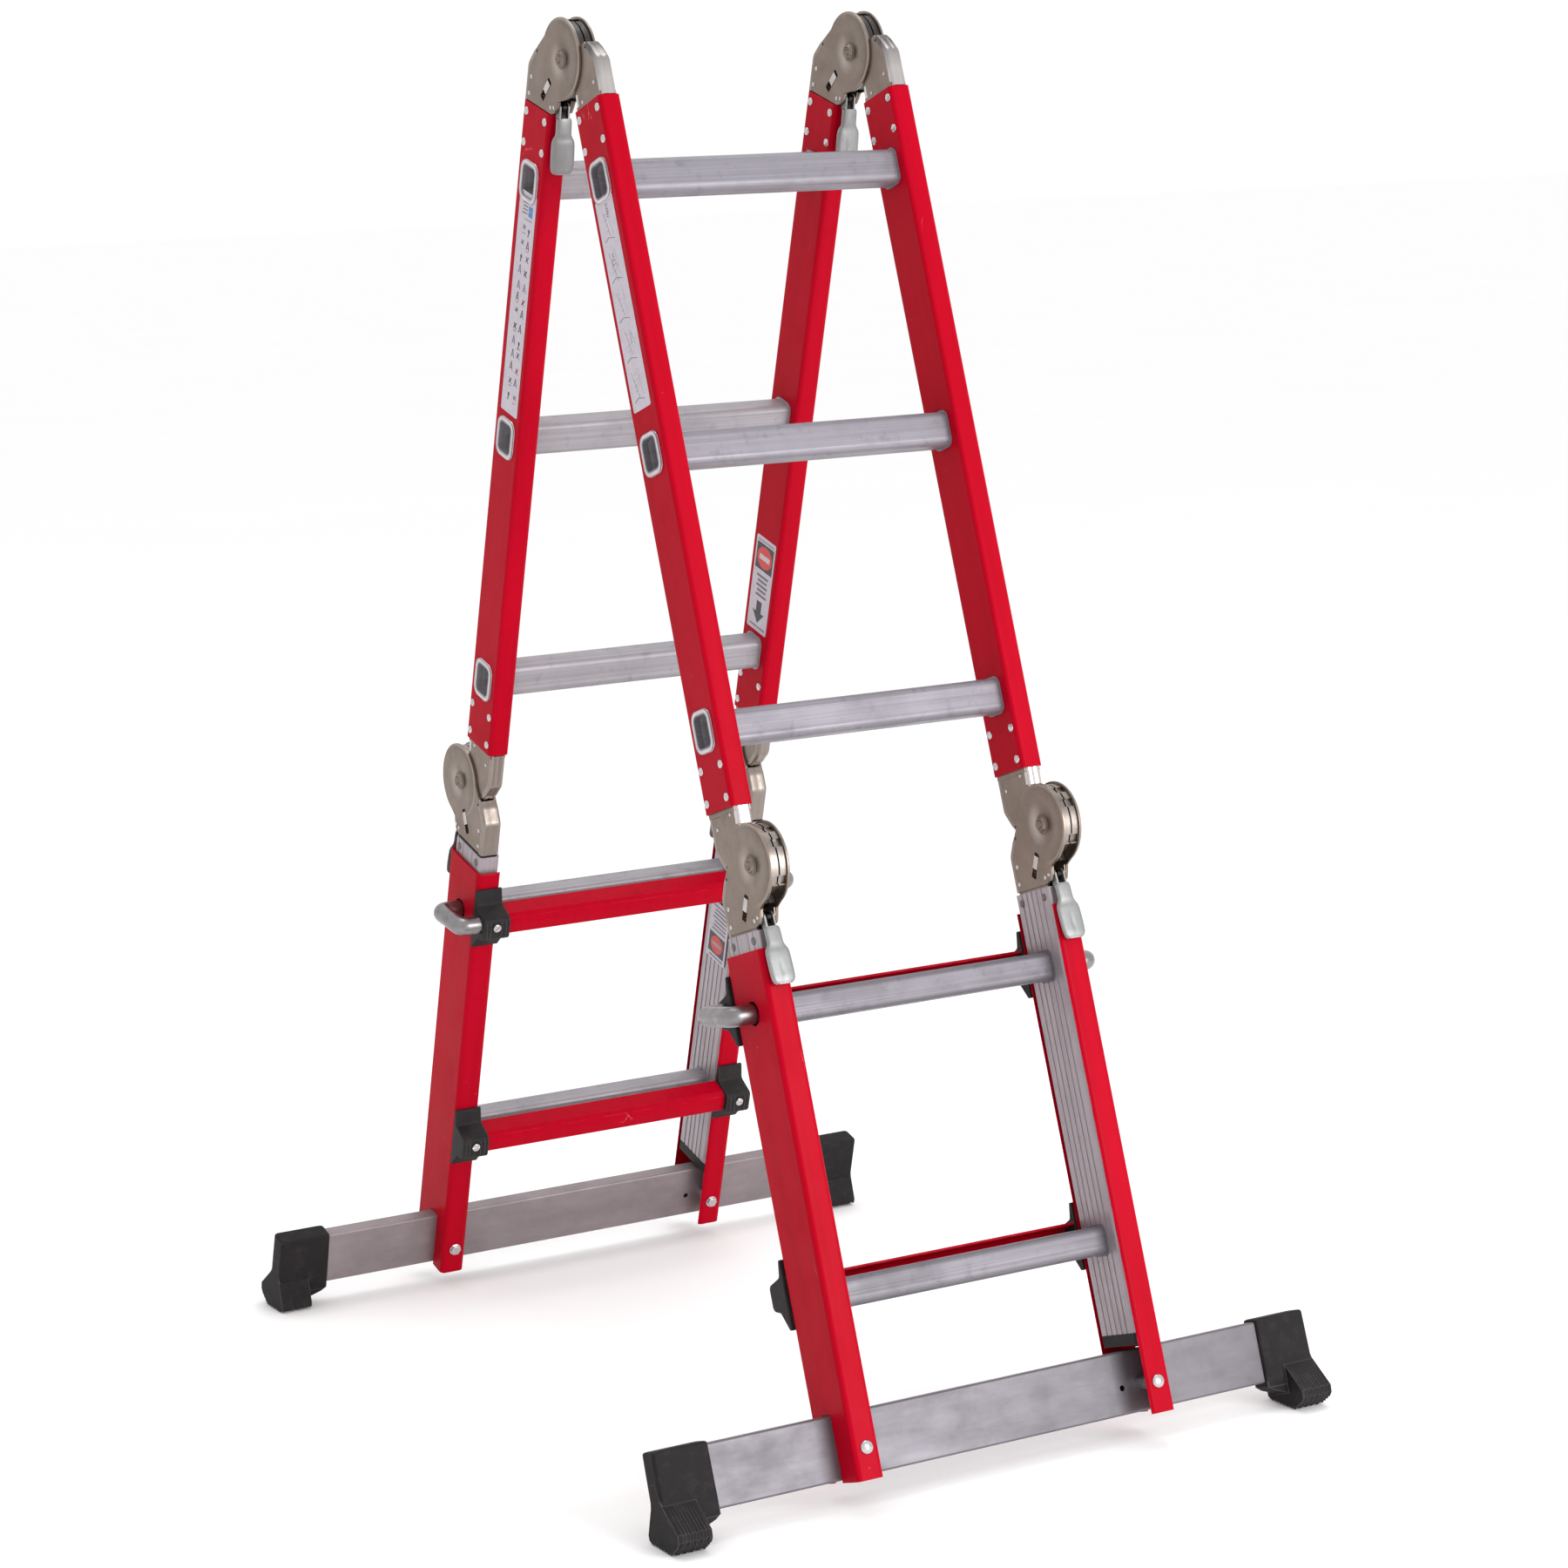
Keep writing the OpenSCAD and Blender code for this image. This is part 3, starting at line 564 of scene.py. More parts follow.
def moulded(name, rgb, alt, rough=0.55, grain=1400.0, strength=0.16, dust=0.0, edge=0.25):
    m = Mat(name)
    base = m.turned()
    big = m.noise(base, 24, 4, 0.6)
    fine = m.noise(base, grain, 3, 0.6)
    c = m.mix(m.ramp(big, 0.35, 0.7), lin(*rgb), lin(*alt))
    if dust:
        du = m.noise(base, 75, 5, 0.7)
        c = m.mix(m.ramp(du, 0.5, 0.72, 0, dust), c, lin(126, 116, 108))
    # painted highlight: outer edges lightened toward grey by the edge amount
    c = m.mix(m.math("MULTIPLY", m.edges(0.0016), edge), c, lin(112, 110, 108))
    m.put(m.b.inputs["Base Color"], c)
    m.put(m.b.inputs["Roughness"], m.ramp(big, 0.3, 0.7, rough - 0.05, rough + 0.1))
    m.sock("Specular IOR Level", 0.12)
    m.put(m.b.inputs["Normal"], m.bump(fine, strength, 0.00012))
    return m.m


RED = {k: paint("red_powder_coat_" + k, k) for k in "FR"}
# the front leg's copies of the rung and bar aluminium are painted darker than the rear's, painted shade that holds
# back the key lamp's reflection on the front faces; the front lower rungs and bar are painted darker still
XR = {"F": ((138, 135, 143), (110, 106, 113)), "R": ((160, 157, 162), (132, 128, 133))}
ALU_X = {k: metal("aluminium_across_" + k, ROT[k], (2.5, 420, 420), XR[k][0], XR[k][1], 0.46, 0.7, 0.10, blotch=0.3, dark=0.25, metallic=0.4) for k in "FR"}
LOW = {"F": ((118, 115, 122), (94, 90, 96)), "R": XR["R"]}
ALU_LOW = {k: metal("aluminium_lower_rungs_" + k, ROT[k], (2.5, 420, 420), LOW[k][0], LOW[k][1], 0.46, 0.7, 0.10, blotch=0.3, dark=0.25, metallic=0.4) for k in "FR"}
ALU_L = {k: metal("aluminium_along_" + k, ROT[k], (420, 420, 3), (172, 162, 167), (144, 136, 141), 0.42, 0.7, 0.10, blotch=0.2, dark=0.15, metallic=0.6) for k in "FR"}
BR = {"F": ((110, 107, 113), (92, 89, 94)), "R": ((148, 138, 140), (124, 114, 116))}
BAR = {k: metal("bar_aluminium_" + k, ROT[k], (5, 24, 24), BR[k][0], BR[k][1], 0.42, 0.7, 0.05, blotch=0.4, dark=0.1, metallic=0.5) for k in "FR"}
CHROME = metal("rolled_rung_end", ROT["X"], (60, 60, 60), (214, 206, 209), (170, 160, 163), 0.24, 0.5, 0.05, blotch=0.25)
# the rung bore lining is painted lighter than the rung metal, painted light that stands for light reaching into the
# open tube
BORE = metal("rung_bore", ROT["X"], (9, 160, 160), (178, 174, 180), (132, 128, 134), 0.55, 0.8, 0.1, metallic=0.35, blotch=0.35)
def pivot_yz(sec, M):
    q = MM @ SEC[sec] @ M @ Vector((0, 0, 0))
    return (q.y, q.z)


PIV = {"top": pivot_yz("RU", TOP), "front": pivot_yz("FL", MLO), "rear": pivot_yz("RL", MLO)}
# hinge plates: centre=PIV[h] paints highlight and shade around each pivot into the plate colour
HINGE = {(h, k): metal(f"hinge_nickel_{h}_{k}", ROT[k], (120, 45, 45), (136, 122, 112), (121, 108, 99), 0.37, 0.5, 0.07, blotch=0.32, dark=0.15, edge=0.25, edge_rgb=(184, 174, 166), centre=PIV[h])
         for h, k in (("top", "F"), ("top", "R"), ("front", "F"), ("rear", "R"))}
# the top front rim gets a bright base, a painted highlight, and painted shade near the pivot through far; the other
# rims keep a dull base
RIM = {("top", k): metal(f"hinge_rim_top_{k}", ROT[k], (300, 300, 20), (200, 194, 193), (160, 153, 152), 0.24, 0.5, 0.05, blotch=0.2, edge=0.2, centre=PIV["top"], far=(0.066, 0.088, (96, 92, 91))) for k in "F"}
for h, k in (("top", "R"), ("front", "F"), ("rear", "R")):
    RIM[h, k] = metal(f"hinge_rim_{h}_{k}", ROT[k], (200, 200, 30), (150, 140, 133), (130, 120, 113), 0.33, 0.5, 0.05, blotch=0.25, edge=0.2, edge_rgb=(180, 172, 166))
# the web band's bright base is a painted highlight
WEBM = {k: metal("hinge_web_" + k, ROT[k], (300, 300, 20), (214, 208, 208), (172, 164, 164), 0.22, 0.5, 0.05, blotch=0.2) for k in "FR"}
HUB = {"top": metal("hub_steel_shaded", ROT["X"], (260, 90, 90), (80, 77, 76), (54, 51, 50), 0.40, 0.6, 0.06, blotch=0.35, dark=0.35),
       "front": metal("hub_steel", ROT["X"], (260, 90, 90), (156, 148, 143), (122, 114, 108), 0.36, 0.6, 0.06, blotch=0.3, dark=0.3)}
HUB["rear"] = HUB["front"]
LOCKM = metal("bright_lock_bar", ROT["X"], (200, 90, 90), (202, 194, 190), (160, 152, 148), 0.32, 0.5, 0.06, blotch=0.25)
DARK = metal("blackened_steel", ROT["X"], (150, 150, 150), (52, 49, 47), (34, 32, 31), 0.42, 0.5, 0.08, blotch=0.3)
ZINC = metal("zinc_plate", ROT["X"], (70, 70, 24), (142, 143, 143), (124, 125, 125), 0.42, 0.6, 0.08, blotch=0.3, edge=0.5, edge_rgb=(216, 216, 216), dark=0.15, metallic=0.6)
GALV = metal("galvanised_bar", ROT["X"], (55, 55, 55), (150, 147, 149), (120, 117, 119), 0.30, 0.7, 0.14, blotch=0.35, dark=0.2)
BOLTM = metal("bright_fastener", ROT["X"], (140, 140, 140), (204, 199, 200), (164, 158, 160), 0.26, 0.5, 0.06, blotch=0.25, edge=0.25)
DULL = metal("dull_rivet", ROT["X"], (140, 140, 140), (120, 114, 112), (86, 82, 80), 0.38, 0.5, 0.08, blotch=0.25)
PLASTIC = moulded("black_moulded_plastic", (33, 31, 32), (42, 40, 40), 0.5, 1100, 0.14, dust=0.06)
RUBBER = moulded("black_rubber", (27, 25, 27), (36, 33, 35), 0.6, 700, 0.25, dust=0.06, edge=0.4)


def printed(name, rgb, rough=0.32):
    m = Mat(name)
    n = m.noise(m.turned(), 120, 4, 0.6)
    f = m.noise(m.turned(), 30, 3, 0.6)
    c = m.mix(m.ramp(n, 0.4, 0.75, 0, 0.35), lin(*rgb), lin(*[x * 0.84 for x in rgb]))
    c = m.mix(m.ramp(f, 0.55, 0.75, 0, 0.25), c, lin(*[x * 0.78 + 20 for x in rgb]))
    m.put(m.b.inputs["Base Color"], c)
    m.put(m.b.inputs["Roughness"], m.ramp(n, 0.3, 0.7, rough - 0.06, rough + 0.1))
    m.sock("Specular IOR Level", 0.4)
    m.put(m.b.inputs["Normal"], m.bump(f, 0.15, 0.0001))
    return m.m


LABEL = [printed("label_film", (186, 178, 188)), printed("label_grey_ink", (96, 92, 98)), printed("label_dark_ink", (46, 43, 46)),
         printed("label_blue_ink", (58, 116, 178)), printed("label_red_ink", (196, 52, 46)), printed("label_pale_ink", (140, 136, 144))]

# ------------------------------------------------------------------ the CAD nodes that stay
for w in "FR":
    n = LEGN[w]
    stay = {
        RED[w]: [f"{n}_upper_left_stile", f"{n}_upper_right_stile", f"{n}_extension_left_stile", f"{n}_extension_right_stile", f"{n}_extension_rungs"],
        ALU_X[w]: [f"{n}_upper_rungs"],
        ALU_LOW[w]: [f"{n}_lower_rungs"],
        ALU_L[w]: [f"{n}_lower_left_stile", f"{n}_lower_right_stile"],
        BAR[w]: [f"{n}_stabilizer_bar"],
        PLASTIC: [f"{n}_lower_end_caps"],
    }
    for mat, names in stay.items():
        for name in names:
            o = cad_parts[name]
            o.data.materials.clear()
            o.data.materials.append(mat)
for which in ("top", "front", "rear"):
    for h in ("left", "right"):
        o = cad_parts[f"{which}_lock_bar_{h}"]
        o.data.materials.clear()
        o.data.materials.append(LOCKM)

# ------------------------------------------------------------------ rung ends, rolled over outside the stiles
for w in "FR":
    n = LEGN[w]
    g = Geo()
    for t in (150, 450, 750):
        for sx in (1, -1):
            rings = []
            # the lip turns out from the bore and back onto the stile
            for d, x in ((-1.6, -6), (-1.6, 0.4), (-1.1, 1.4), (0.2, 2.0), (1.8, 2.25), (3.2, 2.0), (4.2, 1.3), (4.6, 0.4), (4.6, 0.02), (-0.2, 0.02), (-0.8, -1.0), (-0.8, -6), (-1.6, -6)):
                ring = rrect(32 + 2 * d, 38 + 2 * d, max(7.9 + d, 2), 7)
                rings.append([(sx * (SX + SW / 2 + x), -OFF + a, -t + b) for a, b in ring])
            v, f = skin(rings, cap0=False, cap1=False)
            g.add(v, f)
            # the bore lining, in the lighter rung_bore material: painted light inside the tube
            rings = []
            for d, x in ((-2.0, -34), (-2.0, -24), (-2.0, -14), (-1.95, -5.5), (-1.7, -5.5), (-1.7, -34), (-2.0, -34)):
                rings.append([(sx * (SX + SW / 2 + x), -OFF + a, -t + b) for a, b in rrect(32 + 2 * d, 38 + 2 * d, max(7.9 + d, 2), 7)])
            v, f = skin(rings, cap0=False, cap1=False)
            g.add(v, f, None, 1)
    build(f"{n}_rolled_rung_ends", g, SEC[w + "U"], f"{n}_upper", [CHROME, BORE], sharp=60)

# ------------------------------------------------------------------ rivets
def rivet_geo(r, h=1.7, seg=20):
    g = Geo()
    for k in (1, -1):
        prof = [(0, 0), (r, 0), (r, 0.25)] + [(r * math.cos(a), 0.25 + (h - 0.25) * math.sin(a)) for a in (0.35, 0.7, 1.05, 1.3)] + [(0, h)]
        v, f = lathe([(rr, k * (SW / 2 + 0.03 + x)) for rr, x in prof], seg)
        g.add(v, f)
    return g


for w in "FR":
    n = LEGN[w]
    g = Geo()
    for _, S in SIDES:
        for t in (76, 111, MT - 111, MT - 76):
            for nn in (-22.5, 22.5):
                g.geo(rivet_geo(4.6), S @ T((SX, -OFF - nn, -t)))
    build(f"{n}_upper_rivets_domed", g, SEC[w + "U"], f"{n}_upper", BOLTM, f"{n}_upper_rivets")
    g = Geo()
    for _, S in SIDES:
        for nn in (-23, 23):
            g.geo(rivet_geo(4.2, 1.6), S @ T((SX, OFF - nn, -77)))
    build(f"{n}_lower_rivets_domed", g, SEC[w + "L"], f"{n}_lower", DULL, f"{n}_lower_rivets")

# ------------------------------------------------------------------ hinges
def smooth(x):
    x = max(0.0, min(1.0, x))
    return x * x * (3 - 2 * x)


def dish(s, p):
    r = math.hypot(s, p)
    d = 1.9 * (1 - smooth((r - 10.0) / 17.0)) if r < 27 else 0.0
    # shallow pressed step along the far edge of the disc
    d += 0.45 * smooth((r - 37.5) / 3.0) if p < 22 and s > -34 and r > 37.5 else 0.0
    return d


MARKS = [(r * math.cos(2 * math.pi * i / n), r * math.sin(2 * math.pi * i / n)) for r, n in ((10.2, 40), (11.5, 40), (13, 40), (15, 40), (17, 40), (19, 40), (21, 40), (23, 40), (25, 40), (27.5, 40), (37.0, 72), (38.2, 72), (39.2, 72), (40.2, 72), (41.4, 72)) for i in range(n)]


def rotp(pts, a):
    c, s = math.cos(math.radians(a)), math.sin(math.radians(a))
    return [(x * c - y * s, x * s + y * c) for x, y in pts]


def outer_outline():
    a = arc(0, 0, DISC_R, 199.5, 433, 84)
    a += [(3, 47.5), (0.2, 55), (-3, 61.5), (-10.8, 64.6), (-72.4, 64.6), (-72.4, 28), (-70.6, 22.6), (-61.0, 8.4), (-55.2, 0.2), (-47.4, -8.4)]
    return a


ROOT = [(-74, 46.5), (-74, 64.2), (-71.6, 64.2), (-71.6, 120), (-13.6, 120), (-13.6, 64.2), (-11.2, 64.2), (-3.6, 61), (-0.4, 55), (1.5, 46.5)]
INNER = [(-12, 10), (-12, 0.5), (-54.6, 0.5), (-61.2, 8.8), (-70.6, 22.9), (-72.4, 28), (-72.4, 64.6), (-13.8, 64.6), (-13.8, 40)]
TONGUE = [(-13.6, 60), (-13.6, 120), (-71.6, 120), (-71.6, 60)]


def hub_outline(notches):
    cuts = [((q + 90) % 360, 4.7, HUB_R - 2.9) for q in notches] + [((-q + 90) % 360, 6.0, HUB_R - 9) for q in (140, 153, 166)]
    cuts.sort()
    groups = []
    for i, (a, hw, r) in enumerate(cuts):
        half = math.degrees(math.asin(hw / HUB_R))
        if groups and a - half < groups[-1][1] + 1.0:
            groups[-1][1] = a + half
            groups[-1][2].append((a, hw, r))
        else:
            groups.append([a - half, a + half, [(a, hw, r)]])
    order = []
    for a0, a1, cs in groups:
        ring = [(a0, HUB_R)]
        for k, (a, hw, r) in enumerate(cs):
            w = math.degrees(math.atan(hw / r))
            lo, hi = a - w, a + w
            if k > 0:
                lo = max(lo, (cs[k - 1][0] + a) / 2 + 0.01)
            if k < len(cs) - 1:
                hi = min(hi, (cs[k + 1][0] + a) / 2 - 0.01)
            ring += [(lo, r / math.cos(math.radians(lo - a))), (hi, r / math.cos(math.radians(hi - a)))]
        ring.append((a1, HUB_R))
        order.append((a0 % 360, ring))
    for i in range(300):
        a = i * 1.2
        if not any(g[0] - 0.5 < a + k < g[1] + 0.5 for g in groups for k in (-360, 0, 360)):
            order.append((a, [(a, HUB_R)]))
    order.sort(key=lambda q: q[0])
    return [(r * math.cos(math.radians(a)), r * math.sin(math.radians(a))) for _, ring in order for a, r in ring]


SLOT = rotp([(4.5, 34.5), (4.5, 64), (-4.5, 64), (-4.5, 34.5)], SLOT_A)
SLOT = fillet(ccw(SLOT), 1.2, 3)
PINH = [(8.06 * math.cos(2 * math.pi * i / 40), 8.06 * math.sin(2 * math.pi * i / 40)) for i in range(40)]
NOTCH_TOP = (147, -68.2, -40.2)
NOTCH_MID = (147, -123, -68, -41)


def band_geo(half, path, flip_n=False):
    """A rim folded over from one plate to the other: a U swept along the arm's edge."""
    n = len(path)
    nrm = []
    for i in range(n):
        t = unit((path[min(i + 1, n - 1)][0] - path[max(i - 1, 0)][0], path[min(i + 1, n - 1)][1] - path[max(i - 1, 0)][1]))
        q = (t[1], -t[0])
        good = q[0] + 0.3 * q[1] < 0
        nrm.append(q if good != flip_n else (-q[0], -q[1]))
    r = 3.6
    cs = [(-half - 0.04, -7.0), (-half - 0.04, -r)]
    cs += [(-half - 0.04 + r * (1 - math.cos(math.radians(a))), -r + r * math.sin(math.radians(a))) for a in (18, 36, 54, 72, 90)]
    mid = (half - r) * 0.5
    cs += [(-mid, 0.12), (-mid * 0.4, -0.25), (mid * 0.4, -0.25), (mid, 0.12)]
    cs += [(half + 0.04 - r * (1 - math.cos(math.radians(a))), -r + r * math.sin(math.radians(a))) for a in (90, 72, 54, 36, 18)]
    cs += [(half + 0.04, -r), (half + 0.04, -7.0), (half - 2.4, -7.0), (half - 2.4, -r), (half - r - 0.4, -2.4), (-half + r + 0.4, -2.4), (-half + 2.4, -r), (-half + 2.4, -7.0)]
    rings = []
    for q, m in zip(path, nrm):
        rings.append([(x, q[0] + m[0] * k, q[1] + m[1] * k) for x, k in cs])
    return skin(rings)


RIM_PATH = fillet([(-54.8, 1.0), (-57.6, 1.0), (-64.4, 7.6), (-75.6, 24.0), (-75.6, 64.6)], [0, 2.5, 24, 14, 0], 7)
RIM_IN = fillet([(-54.8, 0.8), (-57.8, 0.8), (-64.6, 7.8), (-75.6, 24.5), (-75.6, 64.6)], [0, 3, 20, 14, 0], 7)
WEB = [(-10.6, 64.6), (-10.6, 55), (-11.2, 46.0)]


def small_stud(r, x, h=0.8):
    return lathe([(0, x - 1.2), (r, x - 1.2), (r, x + h * 0.3), (r * 0.86, x + h * 0.75), (r * 0.55, x + h), (r * 0.4, x + h * 0.7), (0, x + h * 0.6)], 18)


MIR = flip(x=-1)


def outer_plates():
    g = Geo()
    v, f = stamped(outer_outline(), [SLOT, PINH], DISC_IN, ARM_HI, 1.0, dish, MARKS, 3.0)
    v2, f2 = stamped(fillet(ROOT, 0.6, 2), [SLOT], ARM_IN, ARM_OUT, 0.4, None, (), 5.0)
    for K in (flip(), MIR):
        g.add(v, f, K)
        g.add(v2, f2, K)
    return g


def outer_trim():
    g = Geo()
    for K in (flip(), MIR):
        for s, p, r in ((-63, 37, 2.6), (-65, 56, 2.6), (-11.5, 57, 2.4), (-4, 55, 2.2)):
            v, f = small_stud(r, ARM_HI, 0.8)
            g.add(v, f, K @ T((0, s, p)))
    return g


def hub_geo(notches):
    g = Geo()
    v, f = stamped(hub_outline(notches), [PINH], 0.9, HUB_H, 0.5, None, (), 6.0)
    for K in (flip(), MIR):
        g.add(v, f, K)
    rings = []
    for r, x in ((8.1, -3.5), (14, -3.5), (14, 3.5), (8.1, 3.5), (8.1, -3.5)):
        rings.append([(x, r * math.cos(2 * math.pi * i / 36), r * math.sin(2 * math.pi * i / 36)) for i in range(36)])
    v, f = skin(rings, cap0=False, cap1=False)
    g.add(v, f)
    return g


def pin_geo():
    g = Geo()
    prof = [(0, 0.6), (1.6, 0.5), (2.2, 1.2), (2.9, 1.3), (3.5, 0.3), (4.6, 0.4), (5.4, 1.9), (6.2, 2.5), (7.1, 2.3), (7.8, 1.2), (8.4, -0.4), (9.6, -0.9), (10.8, -1.2), (11.4, -1.5), (11.4, -2.4)]
    for k in (1, -1):
        v, f = lathe([(r, k * (ARM_HI + x)) for r, x in prof], 40)
        g.add(v, f)
    v, f = lathe([(8.0, -ARM_HI), (8.0, ARM_HI)], 40)
    g.add(v, f)
    return g


def hinge(which, w, sec, Mx_in, Mx_out, sec_in, body_in, body_out, notches):
    """The two arms of a pair of hinges: inner arm with its hub, outer arm with its discs, pins and studs."""
    gi, gh, gb, go, gt, gp, gbo, gpt = Geo(), Geo(), Geo(), Geo(), Geo(), Geo(), Geo(), Geo()
    plate_i = Geo()
    v, f = stamped(INNER, [], 3.4, HUB_H - 0.05, 1.0, None, (), 3.2)
    v2, f2 = prism(TONGUE, 6.3, ARM_OUT)
    for K in (flip(), MIR):
        plate_i.add(v, f, K)
        plate_i.add(v2, f2, K)
    st = Geo()
    for K in (flip(), MIR):
        for s, p in ((-27, 58), (-60, 47)):
            v, f = small_stud(2.2, HUB_H)
            st.add(v, f, K @ T((0, s, p)))
    b, b2 = Geo(), Geo()
    b.add(*band_geo(HUB_H - 0.05, RIM_IN))
    b.add(*band_geo(HUB_H - 0.05, WEB, True), None, 1)
    b2.add(*band_geo(ARM_HI, RIM_PATH))
    fl = Geo()
    for s0, s1, p0 in ((-71.6, -69.2, 66), (-16, -13.6, 76)):
        v, f = prism([(s0, p0), (s1, p0), (s1, 120), (s0, 120)], -7.2, 7.2)
        fl.add(v, f)
    hg, op, tr, pn = hub_geo(notches), outer_plates(), outer_trim(), pin_geo()
    for _, S in SIDES:
        gi.geo(plate_i, S @ Mx_in)
        gh.geo(hg, S @ Mx_in)
        gb.geo(b, S @ Mx_in)
        gi.geo(fl, S @ Mx_in)
        gt.geo(st, S @ Mx_in)
        go.geo(op, S @ Mx_out)
        go.geo(fl, S @ Mx_out)
        gbo.geo(b2, S @ Mx_out)
        gp.geo(pn, S @ Mx_out)
        gpt.geo(tr, S @ Mx_out)
    wi = sec_in[0]
    build(f"{which}_inner_arm_plates", gi, SEC[sec_in], body_in, HINGE[which, wi], f"{which}_hinge_inner_arms", sharp=40)
    build(f"{which}_notched_hubs", gh, SEC[sec_in], body_in, HUB[which], sharp=40)
    build(f"{which}_inner_arm_rims", gb, SEC[sec_in], body_in, [RIM[which, wi], WEBM[wi]], sharp=60)
    build(f"{which}_inner_arm_studs", gt, SEC[sec_in], body_in, BOLTM, sharp=50)
    build(f"{which}_outer_arm_plates", go, SEC[sec], body_out, HINGE[which, w], f"{which}_hinge_outer_arms", sharp=40)
    build(f"{which}_outer_arm_rims", gbo, SEC[sec], body_out, RIM[which, w], sharp=60)
    build(f"{which}_outer_arm_studs", gpt, SEC[sec], body_out, BOLTM, sharp=50)
    build(f"{which}_pin_heads", gp, SEC[sec], body_out, HINGE[which, w], f"{which}_hinge_pins", sharp=50)


hinge("top", "R", "RU", TOP, TOP, "FU", "front_upper", "rear_upper", NOTCH_TOP)
hinge("front", "F", "FL", MUP, MLO, "FU", "front_upper", "front_lower", NOTCH_MID)
hinge("rear", "R", "RL", MUP, MLO, "RU", "rear_upper", "rear_lower", NOTCH_MID)

# ------------------------------------------------------------------ release levers
LEV = T((0, -4, 55)) @ Matrix.Rotation(math.radians(-6), 4, "X") @ T((0, 4, -55))


def lever_geo():
    g = Geo()
    # pressed paddle: half width, height of the sheet, by distance along the arm
    st = [(66.4, 7.6, 0), (67.4, 8.7, 0), (70.0, 9.2, 0), (76.0, 9.3, 0), (82.0, 9.3, 0), (85.0, 9.7, 0), (88.0, 11.4, 0), (91.0, 13.1, 0),
          (95.0, 13.9, 0), (103.0, 14.1, 0), (112.0, 14.1, 0), (118.0, 13.9, 0), (122.4, 13.4, 0), (125.2, 12.2, 0), (126.9, 10.4, 0), (127.8, 8.4, 0)]
    us = [-1, -0.985, -0.93, -0.84, -0.7, -0.5, -0.3, -0.19, -0.1, 0, 0.1, 0.19, 0.3, 0.5, 0.7, 0.84, 0.93, 0.985, 1]
    top, bot = [], []
    for p, hw, s in st:
        rib = smooth((p - 103) / 4) * smooth((116 - p) / 4)
        end = smooth((p - 122) / 5.5)
        neck = 1.0 - smooth((p - 66) / 5)
        rt, rb = [], []
        for u in us:
            curl = max(0.0, abs(u) - 0.78) / 0.22
            drop = min(1.5 * curl ** 2 + 1.5 * end ** 2 + 0.5 * neck, 2.3)
            lift = 0.9 * (1 - abs(u) ** 2.5) - 0.8 * rib * (1 - smooth((abs(u) * hw - 0.9) / 1.5)) - 0.7 * (smooth((p - 84) / 3) - smooth((p - 89) / 4))
            y = 1.7 - drop + lift
            rt.append((u * hw, y, p))
            rb.append((u * hw, y - 1.3, p))
        top.append(rt)
        bot.append(rb)
    n = len(us)
    rings = []
    for a, b in zip(top, bot):
        rings.append(a + list(reversed(b)))
    v, f = skin(rings)
    g.add(v, f)
    # fork cheeks
    cheek = fillet([(-8.2, 51.5), (-9.2, 55), (-8.8, 66), (-2, 78), (0.6, 78), (0.6, 54), (-2, 50.2), (-5, 49.6)], [1.5, 1.5, 3, 1, 0.8, 2.5, 1.5, 1.5], 3)
    v, f = stamped(cheek, [], 4.4, 6.3, 0.5, None, (), 2.5)
    for K in (flip(), MIR):
        g.add(v, f, K)
    # two short tabs over the fork's mouth, and the joint from cheeks to sheet
    for k in (-1, 1):
        v, f = prism(rrect(3.2, 5.2, 1.0, 3, -0.2, 70.6), k * 2.0 if k > 0 else -4.8, 4.8 if k > 0 else -2.0)
        g.add(v, f)
    for k in (-1, 1):
        v, f = prism([(-3.2, 66), (0.9, 66), (0.9, 80), (-1.4, 80), (-3.2, 76)], 5.2 if k > 0 else -6.3, 6.3 if k > 0 else -5.2)
        g.add(v, f)
    return g


def crank_geo():
    g = Geo()
    outline = [(-4, 51.6)] + arc(-4, 55, 4.6, -70, 60, 10) + [(-4.5, 59), (-7, 57.6), (-20, 57.0), (-33.6, 56.6)] + arc(-33.6, 53, 3.6, 95, 265, 10) + [(-20, 51.0)]
    v, f = stamped(fillet(outline, 0.0), [], -2.2, 2.2, 0.5, None, (), 3)
    g.add(v, f)
    v, f = prism([(-7, 57), (-4.5, 59), (-1.2, 67), (-1.2, 71), (-3, 71)], -2.2, 2.2)
    g.add(v, f)
    return g


lev, crk = lever_geo(), crank_geo()
for which, sec, Mx in (("top", "RU", TOP), ("front", "FL", MLO), ("rear", "RL", MLO)):
    for h, S in SIDES:
        g = Geo().geo(lev, S @ Mx @ LEV)
        build(f"{which}_release_paddle_{h}", g, SEC[sec], f"{which}_release_{h}", ZINC, f"{which}_release_lever_{h}", sharp=50)
        g = Geo().geo(crk, S @ Mx @ LEV)
        build(f"{which}_release_crank_{h}", g, SEC[sec], f"{which}_release_{h}", DARK, sharp=50)


# ------------------------------------------------------------------ lever springs, wound from wire
def spring_geo():
    g = Geo()
    for k in (-1, 1):
        path = []
        turns, x0, x1 = 2.2, 2.4, 4.0
        N = 56
        for i in range(N + 1):
            a = 2 * math.pi * turns * i / N
            path.append((k * (x0 + (x1 - x0) * i / N), 3.0 * math.cos(a) - 4, 3.0 * math.sin(a) + 55))
        y, z = path[-1][1], path[-1][2]
        path += [(k * 4.0, y + 0.3, z + 2.0), (k * 4.0, y + 0.3, z + 5.0), (k * 3.9, y + 0.2, z + 8.0)]
        v, f = sweep(path, 0.42, 8, "flat")
        g.add(v, f)
    return g


